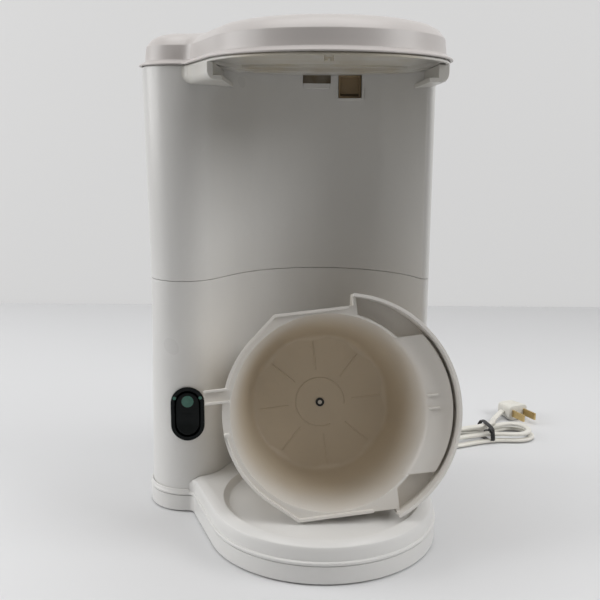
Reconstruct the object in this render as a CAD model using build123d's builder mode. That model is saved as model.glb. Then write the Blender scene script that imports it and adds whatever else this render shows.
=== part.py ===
"""Countertop iced tea maker with its steeping basket lifted out and stood on the base plate.

Frame: origin on the floor under the centre of the round pitcher plate, +X to the right,
+Y to the back, +Z up. Every length is in millimetres.
"""

from build123d import *
from math import acos, asin, atan2, cos, degrees, dist, hypot, pi, radians, sin, sqrt, tan
import os

os.makedirs("parts", exist_ok=True)


# ---- driving dimensions: plan of the body --------------------------------------------

disc_radius = 76.0              # round plate under the pitcher, and the lid above it
lobe_radius = 28.0              # round column at the left front, over its lips
lobe_y = 50.5                   # depth of the column's axis
back_y = 135.0                  # rear edge of base and lid
corner_radius = 30.0            # rounded rear corners
valley_radius = 5.0             # hollow corner between the column and the disc's flank
flank_angle = radians(200.6)    # direction that the straight flank faces
margin = 1.6                    # base and lid stand out this far past the housing
niche_radius = 73.5             # hollow front wall that the pitcher stands in
niche_y = 18.0                  # depth of that hollow's axis
column_web = 0.5                # least distance between the column's and the niche's circles
seam_waist = 2.4                # the column is this much slimmer at the seam
wall = 2.4                      # moulded walls
fit_gap = 0.2                   # between pieces that seat in each other

# ---- driving dimensions: heights ------------------------------------------------------

foot_height = 1.0               # rubber feet below the pan
pan_top_z = 12.2                # joint between pan and base cover
joint_gap = 0.3                 # shadow line between mouldings
collar_top_z = 16.8             # base cover round the housing
plate_top_z = 25.6              # crown of the pitcher plate
seat_z = 22.0                   # sunk floor that the pitcher stands on
seat_radius = 62.0
seat_bevel = 3.6                # width of the slope round that floor
seam_z = 164.4                  # joint between lower and upper housing
tank_floor_z = 169.4
lid_top_z = 326.8               # crown of the lid; the whole head hangs from it
crown_rise = 8.6                # crown over the crease
band_height = 12.5              # lid's straight band
lid_gap = 0.5                   # lid's lip over the housing's top edge
deck_drop = 1.3                 # deck's rim under the housing's top edge
bay_depth = 3.1                 # basket bay's ceiling over the deck's rim
lip_overhang = 0.4              # the lid's lip stands out past the base by this much

# ---- derived heights ------------------------------------------------------------------

crease_z = lid_top_z - crown_rise       # top of the lid's band
lid_z = crease_z - band_height          # lower lip of the lid
housing_top_z = lid_z - lid_gap
rim_z = housing_top_z - deck_drop       # lowest edge of the deck over the basket bay
ceiling_z = rim_z + bay_depth           # flat ceiling of the basket bay

# ---- derived plan values ----------------------------------------------------------------

housing_lobe = lobe_radius - margin
housing_side_x = disc_radius - margin
housing_back_y = back_y - margin
housing_corner = corner_radius - margin
lobe_x = -sqrt((niche_radius + housing_lobe + column_web) ** 2 - (lobe_y - niche_y) ** 2)
horn_radius = wall + 0.8        # rounded right-hand edge of the niche
foot_z = pan_top_z + joint_gap + 0.5


def keep(piece, node):
    """Label a finished piece and write it as one STEP file."""
    piece.part.label = node
    export_step(piece.part, f"parts/{node}.step")


def column_radius(height):
    """Radius of the column at a height: slimmest at the seam, widening to both ends."""
    end_z = foot_z if height < seam_z else housing_top_z
    share = (height - seam_z) / (end_z - seam_z)
    return housing_lobe - seam_waist * (1 - share)


def silhouette(height, grow=0.0):
    """Outline shared by base and lid: disc, straight flank, column lobe and rear block."""
    disc, lobe = disc_radius + grow, lobe_radius + grow
    back, corner, valley = back_y + grow, corner_radius + grow, valley_radius - grow
    face = (cos(flank_angle), sin(flank_angle))
    along = (-face[1], face[0])
    lean = disc + valley - (face[0] * lobe_x + face[1] * lobe_y)
    reach = sqrt((lobe + valley) ** 2 - lean ** 2)
    hollow = (lobe_x + face[0] * lean + along[0] * reach, lobe_y + face[1] * lean + along[1] * reach)
    flank_end = (hollow[0] - face[0] * valley, hollow[1] - face[1] * valley)
    turn = degrees(atan2(hollow[1] - lobe_y, hollow[0] - lobe_x)) % 360
    flank_turn = degrees(flank_angle)
    left = lobe_x - lobe
    with BuildSketch(Plane.XY.offset(height)) as outline:
        with BuildLine():
            Line((disc, 0), (disc, back - corner))
            CenterArc((disc - corner, back - corner), corner, 0, 90)
            Line((disc - corner, back), (left + corner, back))
            CenterArc((left + corner, back - corner), corner, 90, 90)
            Line((left, back - corner), (left, lobe_y))
            CenterArc((lobe_x, lobe_y), lobe, 180, turn - 180)
            CenterArc(hollow, valley, turn - 180, flank_turn - turn)
            Line(flank_end, (disc * face[0], disc * face[1]))
            CenterArc((0, 0), disc, flank_turn, 360 - flank_turn)
        make_face()
    return outline


def housing_outline(height, inset=0.0):
    """Outline of the housing: column, straight web, hollow niche, right horn and rear block."""
    lobe, niche = column_radius(height) - inset, niche_radius + inset
    horn = max(horn_radius - inset, 0.4)
    side, back, corner = housing_side_x - inset, housing_back_y - inset, housing_corner - inset
    left = lobe_x - lobe
    span = hypot(lobe_x, lobe_y - niche_y)
    heading = degrees(atan2(niche_y - lobe_y, -lobe_x))
    turn = heading - degrees(acos((lobe + niche) / span))
    lobe_end = (lobe_x + lobe * cos(radians(turn)), lobe_y + lobe * sin(radians(turn)))
    niche_start = (-niche * cos(radians(turn)), niche_y - niche * sin(radians(turn)))
    horn_x = side - horn
    horn_y = niche_y + sqrt((niche + horn) ** 2 - horn_x ** 2)
    horn_turn = degrees(atan2(horn_y - niche_y, horn_x))
    with BuildSketch(Plane.XY.offset(height)) as outline:
        with BuildLine():
            Line((side, horn_y), (side, back - corner))
            CenterArc((side - corner, back - corner), corner, 0, 90)
            Line((side - corner, back), (left + corner, back))
            CenterArc((left + corner, back - corner), corner, 90, 90)
            Line((left, back - corner), (left, lobe_y))
            CenterArc((lobe_x, lobe_y), lobe, 180, turn + 180)
            Line(lobe_end, niche_start)
            CenterArc((0, niche_y), niche, turn + 180, horn_turn - turn - 180)
            CenterArc((horn_x, horn_y), horn, horn_turn - 180, 180 - horn_turn)
        make_face()
    return outline


def stack(outline, levels, mode=Mode.ADD):
    """Join an outline's sections, given as (height, size) from the bottom up, by ruled walls."""
    for lower, upper in zip(levels, levels[1:]):
        loft(sections=[outline(*lower).sketch, outline(*upper).sketch], ruled=True, mode=mode)


def rod(start, end, radius, mode=Mode.ADD):
    """Round bar between two points."""
    across = Vector(*end) - Vector(*start)
    bar = Plane(origin=start, z_dir=across) * Cylinder(
        radius, across.length, align=(Align.CENTER, Align.CENTER, Align.MIN), mode=Mode.PRIVATE
    )
    add(bar, mode=mode)


def block(low, high, mode=Mode.ADD):
    """Box between two corners."""
    size = [far - near for near, far in zip(low, high)]
    centre = [(far + near) / 2 for near, far in zip(low, high)]
    add(Pos(*centre) * Box(*size, mode=Mode.PRIVATE), mode=mode)


# ---- base: pan, feet and the cover with the pitcher plate ---------------------------------

pan_floor = 2.2
foot_radius = 6.0
foot_sink = 0.8                 # feet sit this deep in the pan
post_radius = 5.0               # screw posts
pan_screw_head = 3.2            # radius
pan_screw_radius = 1.5
pan_screw_bore = 1.7
counterbore_depth = 3.0
bead_out = 0.4                  # rounded bead round the base cover's lower edge
bead_height = 2.4
plate_step = 1.0                # the plate stands back from the bead
crown_run = 7.0                 # width of the plate's rounded shoulder
crown_rise = 5.0                # height of that shoulder

cover_z = pan_top_z + joint_gap
bead_top_z = cover_z + bead_height
plate_floor_z = seat_z - wall
front_posts = [(post_x, -0.5 * disc_radius) for post_x in (-0.62 * disc_radius, 0.62 * disc_radius)]
housing_left_x = lobe_x - housing_lobe
rear_post_inset = wall + post_radius + 8
rear_posts = [
    (housing_left_x + rear_post_inset, housing_back_y - rear_post_inset),
    (housing_side_x - rear_post_inset, housing_back_y - rear_post_inset),
]
foot_inset = 14.0
foot_points = [
    (-0.45 * disc_radius, foot_inset - 0.89 * disc_radius),
    (0.45 * disc_radius, foot_inset - 0.89 * disc_radius),
    (housing_left_x + foot_inset, housing_back_y - 2.6 * foot_inset),
    (housing_side_x - foot_inset, housing_back_y - 2.6 * foot_inset),
    (0, 0),
]

with BuildPart() as base_pan:
    extrude(silhouette(foot_height).sketch, amount=pan_top_z - foot_height)
    extrude(
        silhouette(foot_height + pan_floor, -wall).sketch,
        amount=pan_top_z,
        mode=Mode.SUBTRACT,
    )
    with Locations(Plane.XY.offset(foot_height)):
        with Locations(*front_posts, *rear_posts):
            Cylinder(
                post_radius,
                pan_top_z - foot_height,
                align=(Align.CENTER, Align.CENTER, Align.MIN),
            )
            Cylinder(
                pan_screw_head + fit_gap,
                counterbore_depth,
                align=(Align.CENTER, Align.CENTER, Align.MIN),
                mode=Mode.SUBTRACT,
            )
            Cylinder(
                pan_screw_bore,
                pan_top_z,
                align=(Align.CENTER, Align.CENTER, Align.MIN),
                mode=Mode.SUBTRACT,
            )
        with Locations(*foot_points):
            Cylinder(
                foot_radius + fit_gap,
                foot_sink,
                align=(Align.CENTER, Align.CENTER, Align.MIN),
                mode=Mode.SUBTRACT,
            )
keep(base_pan, "base_pan")

with BuildPart() as feet:
    with Locations(*foot_points):
        Cylinder(
            foot_radius,
            foot_height + foot_sink,
            align=(Align.CENTER, Align.CENTER, Align.MIN),
        )
keep(feet, "feet")

pan_screw_tip_z = pan_top_z + 4.2
with BuildPart() as pan_screws:
    with Locations(Plane.XY.offset(foot_height + foot_sink)):
        with Locations(*front_posts, *rear_posts):
            Cylinder(
                pan_screw_head,
                counterbore_depth - foot_sink,
                align=(Align.CENTER, Align.CENTER, Align.MIN),
            )
            Cylinder(
                pan_screw_radius,
                pan_screw_tip_z - foot_height - foot_sink,
                align=(Align.CENTER, Align.CENTER, Align.MIN),
            )
keep(pan_screws, "pan_screws")

far = 4 * disc_radius
plate_left_x = lobe_x + valley_radius / 2
horn_front_y = (
    niche_y
    + sqrt((niche_radius + horn_radius) ** 2 - (housing_side_x - horn_radius) ** 2)
    - horn_radius
)

with BuildPart() as plate_body:
    stack(
        silhouette,
        [
            (bead_top_z, -plate_step),
            (plate_top_z - crown_rise, -plate_step - 0.3),
            (plate_top_z - 0.45 * crown_rise, -plate_step - 0.2 * crown_run),
            (plate_top_z - 0.12 * crown_rise, -plate_step - 0.6 * crown_run),
            (plate_top_z, -plate_step - crown_run),
        ],
    )
    block((-far, -far, 0), (plate_left_x, far, far), Mode.SUBTRACT)
    block((0, horn_front_y, 0), (far, far, far), Mode.SUBTRACT)
    block((-far, niche_y + niche_radius + wall, 0), (far, far, far), Mode.SUBTRACT)

with BuildPart() as base_cover:
    stack(silhouette, [(bead_top_z, -0.1), (collar_top_z, -0.4)])
    block((plate_left_x, -far, 0), (far, horn_front_y, far), Mode.SUBTRACT)
    add(plate_body.part)
    stack(
        silhouette,
        [
            (cover_z, 0),
            (cover_z + 0.25 * bead_height, bead_out),
            (cover_z + 0.75 * bead_height, bead_out),
            (bead_top_z, -0.1),
        ],
    )
    with Locations(Plane.XY.offset(seat_z)):
        Cone(
            seat_radius,
            seat_radius + 2 * seat_bevel,
            2 * (plate_top_z - seat_z),
            align=(Align.CENTER, Align.CENTER, Align.MIN),
            mode=Mode.SUBTRACT,
        )
    extrude(silhouette(0, -wall - margin).sketch, amount=plate_floor_z, mode=Mode.SUBTRACT)
    extrude(housing_outline(foot_z, -fit_gap).sketch, amount=far, both=True, mode=Mode.SUBTRACT)
    extrude(housing_outline(far, -fit_gap).sketch, amount=-2 * far, mode=Mode.SUBTRACT)
    with Locations(Plane.XY.offset(cover_z)):
        with Locations(*front_posts):
            Cylinder(
                post_radius,
                plate_floor_z - cover_z,
                align=(Align.CENTER, Align.CENTER, Align.MIN),
            )
            Cylinder(
                pan_screw_bore,
                plate_floor_z - cover_z - 0.5,
                align=(Align.CENTER, Align.CENTER, Align.MIN),
                mode=Mode.SUBTRACT,
            )
keep(base_cover, "base_cover")

# ---- housing: lower shell and the tank above it -------------------------------------------

tongue_depth = 4.0              # locating ring inside the seam: reach below it
tongue_rise = 2.2               # and above it
tongue_wall = 1.6
boss_height = 6.0               # screw bosses in the lower shell
switch_turn = radians(5.6)
switch_z = 71.8
switch_width = 21.6
switch_height = 37.0
cord_x = -10.0
cord_exit_z = 26.0
cord_hole_radius = 5.0
pipe_radius = 5.0               # riser tube, barbs and heater pipe
pipe_bore = 3.8
hose_radius = 7.0
barb_length = 10.0
heater_x, heater_y = -86.0, 99.0
heater_radius = 22.0
heater_half_gap = radians(40)   # opening of the ring
riser_x, riser_y = 19.7, 112.0
tank_floor = 2.4
deck_post_radius = 4.0
deck_screw_bore = 1.6
deck_post_length = 26.0
chute_low_x, chute_high_x = 11.4, 28.0
chute_height = 16.4
chute_frame = 1.3
chute_proud = 1.4
vent_low_x, vent_high_x = -14.0, 6.0
vent_height = 6.9
vent_sill = 3.7
guard_gap = 3.6                 # splash guard behind the vent, off the wall
guard_wall = 1.5
guard_height = 15.0
pivot_out = 4.0                 # hinge axis behind the housing
pivot_rise = 0.8                # and over its top edge
knuckle_radius = 3.4
hinge_pin_radius = 1.5
hinge_bore = 1.55
hinge_mid_x = -24.0
hinge_reach = 35.0
lug_half = 3.0
lug_height = 13.2

chute_high_z = housing_top_z - 0.8
chute_low_z = chute_high_z - chute_height
vent_low_z = housing_top_z - vent_height
pivot_z = housing_top_z + pivot_rise
lug_low_z = housing_top_z - lug_height
seam_top_z = seam_z + joint_gap
tank_under_z = tank_floor_z - tank_floor
pivot_y = housing_back_y + pivot_out
hinge_xs = (hinge_mid_x - hinge_reach, hinge_mid_x + hinge_reach)
pipe_x = heater_x + heater_radius * cos(heater_half_gap)
inlet_y = heater_y - heater_radius * sin(heater_half_gap)
outlet_y = heater_y + heater_radius * sin(heater_half_gap)
deck_post_gap = 10.0            # from a post to the wall its web reaches
corner_post_reach = (housing_corner - wall - deck_post_gap) * sqrt(0.5)
# each post as x, y and the direction of its web
deck_posts = [
    (housing_left_x + wall + deck_post_gap, lobe_y + 20, 180),
    (housing_side_x - wall - deck_post_gap, lobe_y + 20, 0),
    (
        housing_left_x + housing_corner - corner_post_reach,
        housing_back_y - housing_corner + corner_post_reach,
        135,
    ),
    (
        housing_side_x - housing_corner + corner_post_reach,
        housing_back_y - housing_corner + corner_post_reach,
        45,
    ),
]
switch_plane = Plane(
    origin=(lobe_x, lobe_y, switch_z),
    x_dir=(cos(switch_turn), sin(switch_turn), 0),
    z_dir=(sin(switch_turn), -cos(switch_turn), 0),
)

with BuildPart() as lower_housing:
    stack(housing_outline, [(foot_z, 0), (seam_z, 0)])
    stack(housing_outline, [(foot_z, wall), (seam_z, wall)], Mode.SUBTRACT)
    stack(housing_outline, [(seam_z - tongue_depth, wall - 0.5), (seam_z, wall - 0.5)])
    stack(
        housing_outline,
        [(seam_z, wall + fit_gap), (seam_z + tongue_rise, wall + fit_gap)],
    )
    stack(
        housing_outline,
        [
            (seam_z - tongue_depth, wall + fit_gap + tongue_wall),
            (seam_z + tongue_rise, wall + fit_gap + tongue_wall),
        ],
        Mode.SUBTRACT,
    )
    with Locations(Plane.XY.offset(pan_top_z)):
        with Locations(*rear_posts):
            Cylinder(post_radius, boss_height, align=(Align.CENTER, Align.CENTER, Align.MIN))
            Cylinder(
                pan_screw_bore,
                boss_height - 1.2,
                align=(Align.CENTER, Align.CENTER, Align.MIN),
                mode=Mode.SUBTRACT,
            )
    for post_x, post_y in rear_posts:
        with Locations(Location((post_x, post_y, foot_z), (0, 0, 45 if post_x > 0 else 135))):
            Box(
                housing_corner - wall / 2 - (housing_corner - rear_post_inset) * sqrt(2),
                2,
                boss_height - 2,
                align=(Align.MIN, Align.CENTER, Align.MIN),
            )
        rod((post_x, post_y, 0), (post_x, post_y, pan_top_z + boss_height - 1.2), pan_screw_bore, Mode.SUBTRACT)
    with BuildSketch(switch_plane):
        SlotOverall(switch_height + 0.3, switch_width + 0.3, rotation=90)
    extrude(amount=far, mode=Mode.SUBTRACT)
    rod(
        (cord_x, housing_back_y - 3 * wall, cord_exit_z),
        (cord_x, housing_back_y + wall, cord_exit_z),
        cord_hole_radius,
        Mode.SUBTRACT,
    )
keep(lower_housing, "lower_housing")

with BuildPart() as chute_rim:
    stack(
        housing_outline,
        [(chute_low_z - chute_frame, -chute_proud), (chute_low_z + 6.5, -chute_proud)],
    )
    stack(
        housing_outline,
        [(chute_low_z - chute_frame, 0.5), (chute_low_z + 6.5, 0.5)],
        Mode.SUBTRACT,
    )
    with Locations(((chute_low_x + chute_high_x) / 2, niche_y + niche_radius, chute_low_z)):
        Box(chute_high_x - chute_low_x + 2 * chute_frame, 0.4 * niche_radius, 40, mode=Mode.INTERSECT)

with BuildPart() as vent_ledge:
    stack(
        housing_outline,
        [(vent_low_z - vent_sill, -chute_proud), (vent_low_z, -chute_proud)],
    )
    stack(
        housing_outline,
        [(vent_low_z - vent_sill, 0.5), (vent_low_z, 0.5)],
        Mode.SUBTRACT,
    )
    with Locations(((vent_low_x + vent_high_x) / 2, niche_y + niche_radius, vent_low_z)):
        Box(vent_high_x - vent_low_x - 1.6, 0.4 * niche_radius, 40, mode=Mode.INTERSECT)

guard_y = niche_y + niche_radius + wall + guard_gap
with BuildPart() as splash_guard:
    block(
        (vent_low_x - 2.5, niche_y + niche_radius, housing_top_z - guard_height),
        (vent_high_x + 2.5, guard_y + guard_wall, housing_top_z - joint_gap),
    )
    block(
        (vent_low_x - 2.5 + guard_wall, niche_y, housing_top_z - far),
        (vent_high_x + 2.5 - guard_wall, guard_y, far + housing_top_z),
        Mode.SUBTRACT,
    )
    stack(housing_outline, [(tank_floor_z, wall / 2), (housing_top_z, wall / 2)], Mode.INTERSECT)

with BuildPart() as upper_housing:
    stack(housing_outline, [(seam_top_z, 0), (housing_top_z, 0)])
    stack(housing_outline, [(tank_floor_z, wall), (housing_top_z, wall)], Mode.SUBTRACT)
    stack(housing_outline, [(seam_top_z, wall), (tank_under_z, wall)], Mode.SUBTRACT)
    add(chute_rim.part)
    add(vent_ledge.part)
    add(splash_guard.part)
    block(
        (chute_low_x, niche_y + 0.8 * niche_radius, chute_low_z),
        (chute_high_x, riser_y, chute_high_z),
        Mode.SUBTRACT,
    )
    block(
        (vent_low_x, niche_y + 0.8 * niche_radius, vent_low_z),
        (vent_high_x, guard_y - 0.5, housing_top_z),
        Mode.SUBTRACT,
    )
    for post_x, post_y, web_turn in deck_posts:
        with Locations(Location((post_x, post_y, housing_top_z), (0, 0, web_turn))):
            Box(
                deck_post_gap + wall / 2,
                2,
                deck_post_length,
                align=(Align.MIN, Align.CENTER, Align.MAX),
            )
        rod((post_x, post_y, housing_top_z - deck_post_length), (post_x, post_y, housing_top_z), deck_post_radius)
        rod(
            (post_x, post_y, housing_top_z - 0.6 * deck_post_length),
            (post_x, post_y, housing_top_z),
            deck_screw_bore,
            Mode.SUBTRACT,
        )
    rod((riser_x, riser_y, tank_under_z), (riser_x, riser_y, tank_floor_z), pipe_radius + 1, Mode.SUBTRACT)
    rod((pipe_x, inlet_y, tank_under_z - barb_length), (pipe_x, inlet_y, tank_under_z), pipe_radius)
    rod(
        (pipe_x, inlet_y, tank_under_z - barb_length),
        (pipe_x, inlet_y, tank_floor_z),
        pipe_bore,
        Mode.SUBTRACT,
    )
    for hinge_x in hinge_xs:
        with BuildSketch(Plane(origin=(hinge_x - lug_half, 0, 0), x_dir=(0, 1, 0), z_dir=(1, 0, 0))):
            with Locations((pivot_y, pivot_z)):
                Circle(knuckle_radius)
            with BuildLine():
                Polyline(
                    (housing_back_y - wall / 2, lug_low_z),
                    (pivot_y + knuckle_radius, pivot_z - knuckle_radius),
                    (pivot_y + knuckle_radius, pivot_z),
                    (pivot_y - knuckle_radius, pivot_z),
                    (pivot_y - knuckle_radius, rim_z - 0.6),
                    (housing_back_y - wall / 2, rim_z - 0.6),
                    close=True,
                )
            make_face()
            with Locations((pivot_y, pivot_z)):
                Circle(hinge_pin_radius, mode=Mode.SUBTRACT)
        extrude(amount=2 * lug_half)
keep(upper_housing, "upper_housing")

# ---- head: deck with the basket rails, and the lid ----------------------------------------

rail_inner_x = 66.8
rail_lip_x = 61.5
rail_drop = 10.3                # rails reach this far under the deck's rim
rail_lip = 2.7                  # thickness of the lip that carries the basket
rail_left_y = -24.0
rail_right_y = -14.0
deck_plate = 1.2                # outer shelf the lid comes down on
deck_crown = 2.5
deck_rim_in = 2.6
deck_step_in = 6.4
recess_radius = 72.2
bay_radius = 68.0
fill_width = 150.0
fill_depth = 27.0
fill_corner = 8.0
rib_radius = 144.0
rib_width = 2.0
rib_drop = 1.5
rib_front_y = 30.0
catch_low_x, catch_high_x = -2.4, 3.4
catch_y = -37.5
catch_thick = 2.0
catch_drop = 3.4                # under the bay's ceiling
catch_slot = 1.0

rail_low_z = rim_z - rail_drop
rail_lip_z = rail_low_z + rail_lip
deck_plate_z = housing_top_z + deck_plate
deck_top_z = deck_plate_z + deck_crown
fill_x = (housing_left_x + housing_side_x) / 2
fill_y = (niche_y + niche_radius + housing_back_y) / 2

with BuildPart() as rails:
    stack(
        silhouette,
        [
            (rail_low_z, -margin - 4.0),
            (rail_low_z + 1, -margin - 1.8),
            (rail_low_z + 2.8, -margin - 0.5),
            (rail_low_z + 5, -margin),
            (rim_z, -margin),
        ],
    )
    block((-rail_lip_x, -far, 0), (rail_lip_x, far, far), Mode.SUBTRACT)
    block((-rail_inner_x, -far, rail_lip_z), (rail_inner_x, far, far), Mode.SUBTRACT)
    block((-far, -far, 0), (0, rail_left_y, far), Mode.SUBTRACT)
    block((0, -far, 0), (far, rail_right_y, far), Mode.SUBTRACT)
    extrude(housing_outline(foot_z, -fit_gap).sketch, amount=far + rim_z, mode=Mode.SUBTRACT)

with BuildPart() as deck_recess:
    with Locations(Plane.XY.offset(rim_z)):
        Cylinder(
            recess_radius,
            0.8,
            align=(Align.CENTER, Align.CENTER, Align.MIN),
        )
        Cylinder(
            bay_radius,
            ceiling_z - rim_z,
            align=(Align.CENTER, Align.CENTER, Align.MIN),
        )
    extrude(housing_outline(foot_z, 0).sketch, amount=far + rim_z, mode=Mode.SUBTRACT)
    with BuildSketch(Plane.XY.offset(ceiling_z - rib_drop)):
        with Locations((0, rib_front_y + rib_radius)):
            Circle(rib_radius)
            Circle(rib_radius - rib_width, mode=Mode.SUBTRACT)
    extrude(amount=far, mode=Mode.SUBTRACT)

with BuildPart() as head_deck:
    extrude(silhouette(rim_z, -margin).sketch, amount=housing_top_z - rim_z)
    extrude(housing_outline(rim_z, -fit_gap).sketch, amount=housing_top_z - rim_z, mode=Mode.SUBTRACT)
    extrude(silhouette(housing_top_z, -deck_rim_in).sketch, amount=deck_plate_z - housing_top_z)
    extrude(silhouette(deck_plate_z, -deck_step_in).sketch, amount=deck_top_z - deck_plate_z)
    add(deck_recess.part, mode=Mode.SUBTRACT)
    add(rails.part)
    block(
        (catch_low_x, catch_y, ceiling_z - catch_drop),
        (catch_high_x, catch_y + catch_thick, ceiling_z + 0.5),
    )
    block(
        (catch_low_x + 0.8, catch_y - 1, ceiling_z - catch_slot),
        (catch_high_x - 0.8, catch_y + catch_thick + 1, ceiling_z),
        Mode.SUBTRACT,
    )
    catch_mid_x = (catch_low_x + catch_high_x) / 2
    block(
        (catch_mid_x - 0.6, catch_y - 1, ceiling_z - catch_drop),
        (catch_mid_x + 0.6, catch_y + catch_thick + 1, ceiling_z - 0.6 * catch_drop),
        Mode.SUBTRACT,
    )
    with BuildSketch(Plane.XY.offset(rim_z)):
        with Locations((fill_x, fill_y)):
            RectangleRounded(fill_width, fill_depth, fill_corner)
    extrude(amount=far, mode=Mode.SUBTRACT)
    for post_x, post_y, _ in deck_posts:
        rod((post_x, post_y, rim_z), (post_x, post_y, deck_top_z), deck_screw_bore, Mode.SUBTRACT)
keep(head_deck, "head_deck")

deck_screw_head = 3.0
with BuildPart() as deck_screws:
    for post_x, post_y, _ in deck_posts:
        rod((post_x, post_y, deck_top_z), (post_x, post_y, deck_top_z + 1.6), deck_screw_head)
        rod(
            (post_x, post_y, housing_top_z - 0.5 * deck_post_length),
            (post_x, post_y, deck_top_z),
            deck_screw_bore - 0.1,
        )
keep(deck_screws, "deck_screws")

lid_wall = 1.9
lid_step = 3.7                  # the lid's side stands this far inside its lip
lid_draft = 1.0
dome_run = 0.55 * lobe_radius
with BuildPart() as lid:
    stack(
        silhouette,
        [
            (lid_z, lip_overhang),
            (lid_z + 1, lip_overhang),
            (lid_z + 2.6, 0.7 - lid_step),
            (lid_z + 3.2, -lid_step),
            (crease_z, -lid_step - lid_draft),
            (crease_z + 0.51 * (lid_top_z - crease_z), -lid_step - lid_draft - 0.23 * dome_run),
            (crease_z + 0.81 * (lid_top_z - crease_z), -lid_step - lid_draft - 0.54 * dome_run),
            (lid_top_z, -lid_step - lid_draft - dome_run),
        ],
    )
    stack(
        silhouette,
        [
            (lid_z, lip_overhang - lid_wall),
            (lid_z + 0.7, lip_overhang - lid_wall),
            (lid_z + 2.7, 0.5 - lid_step - lid_wall),
            (crease_z - 0.2, -lid_step - lid_draft - lid_wall),
            (crease_z + 0.45 * (lid_top_z - crease_z), -lid_step - lid_draft - lid_wall - 0.22 * dome_run),
            (lid_top_z - 2.6, -lid_step - lid_draft - lid_wall - 0.5 * dome_run),
        ],
        Mode.SUBTRACT,
    )
    for side, hinge_x in zip((-1, 1), hinge_xs):
        low_x, high_x = sorted((hinge_x, hinge_x - side * 4 * lug_half))
        low_x += (side < 0) * (lug_half + joint_gap)
        high_x -= (side > 0) * (lug_half + joint_gap)
        with BuildSketch(Plane(origin=(low_x, 0, 0), x_dir=(0, 1, 0), z_dir=(1, 0, 0))):
            with Locations((pivot_y, pivot_z)):
                Circle(knuckle_radius)
            with BuildLine():
                Polyline(
                    (housing_back_y - 0.4, lid_z),
                    (pivot_y, lid_z),
                    (pivot_y, pivot_z + knuckle_radius),
                    (pivot_y - 1.6 * knuckle_radius, pivot_z + knuckle_radius),
                    (pivot_y - 1.6 * knuckle_radius, lid_z + 2),
                    (housing_back_y - 0.4, lid_z + 2),
                    close=True,
                )
            make_face()
        extrude(amount=high_x - low_x)
        notch_low_x, notch_high_x = sorted(
            (hinge_x + side * (lug_half + 1.6), hinge_x - side * (lug_half + joint_gap))
        )
        block(
            (notch_low_x, pivot_y - knuckle_radius - joint_gap, 0),
            (notch_high_x, far, far + lid_top_z),
            Mode.SUBTRACT,
        )
        rod((low_x - 1, pivot_y, pivot_z), (high_x + 1, pivot_y, pivot_z), hinge_bore, Mode.SUBTRACT)
keep(lid, "lid")

with BuildPart() as lid_hinge_pins:
    for side, hinge_x in zip((-1, 1), hinge_xs):
        rod(
            (hinge_x + side * lug_half, pivot_y, pivot_z),
            (hinge_x - side * (4 * lug_half - 1), pivot_y, pivot_z),
            hinge_pin_radius,
        )
        rod(
            (hinge_x + side * lug_half, pivot_y, pivot_z),
            (hinge_x + side * (lug_half + 1), pivot_y, pivot_z),
            hinge_pin_radius + 0.8,
        )
keep(lid_hinge_pins, "lid_hinge_pins")

# ---- water path -----------------------------------------------------------------------------

riser_bend = 9.0
spout_wall = 1.3                # box-shaped spout seated in the chute's opening
spout_front_y = 91.0
spout_recess = 4.0              # in front of its baffle
spout_chamber = 3.0             # behind it, where the riser ends
spout_slit = 1.5                # under the baffle
spout_bore = 5.1
heater_z = 32.0                 # water tube's centre line
element_radius = 4.0
stub_height = 16.0
valve_low_z = 96.0              # check valve body
valve_length = 16.0
valve_radius = 8.0
ball_radius = 4.6
hose_bend = 16.0
hose_cross_z = 112.0

spout_z = (chute_low_z + chute_high_z) / 2 + 1
spout_back_y = riser_y - riser_bend
baffle_y = spout_front_y + spout_recess
riser_end_y = baffle_y + spout_wall + spout_chamber
riser_low_z = tank_under_z - barb_length
stub_top_z = heater_z + stub_height
valve_high_z = valve_low_z + valve_length


def pipe_run(points, bend, outer, inner):
    """Tube along a bent route."""
    with BuildLine() as route:
        FilletPolyline(*points, radius=bend)
    start = Plane(origin=route.line @ 0, z_dir=route.line % 0)
    with BuildSketch(start) as section:
        Circle(outer)
        if inner:
            Circle(inner, mode=Mode.SUBTRACT)
    sweep(section.sketch, path=route.wires()[0])


with BuildPart() as riser_tube:
    pipe_run(
        [
            (riser_x, riser_y, riser_low_z),
            (riser_x, riser_y, spout_z),
            (riser_x, riser_end_y, spout_z),
        ],
        riser_bend,
        pipe_radius,
        pipe_bore,
    )
keep(riser_tube, "riser_tube")

with BuildPart() as outlet_spout:
    spout_low = (chute_low_x + fit_gap, spout_front_y, chute_low_z + fit_gap)
    spout_high = (chute_high_x - fit_gap, spout_back_y, chute_high_z - fit_gap)
    block(spout_low, spout_high)
    for low_y, high_y in ((spout_front_y, baffle_y), (baffle_y + spout_wall, riser_end_y)):
        block(
            (spout_low[0] + spout_wall, low_y, spout_low[2] + spout_wall),
            (spout_high[0] - spout_wall, high_y, spout_high[2] - spout_wall),
            Mode.SUBTRACT,
        )
    block(
        (spout_low[0] + spout_wall, spout_front_y, spout_low[2] + spout_wall),
        (spout_high[0] - spout_wall, riser_end_y, spout_low[2] + spout_wall + spout_slit),
        Mode.SUBTRACT,
    )
    rod((riser_x, riser_end_y - 1, spout_z), (riser_x, spout_back_y, spout_z), spout_bore, Mode.SUBTRACT)
keep(outlet_spout, "outlet_spout")

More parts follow.
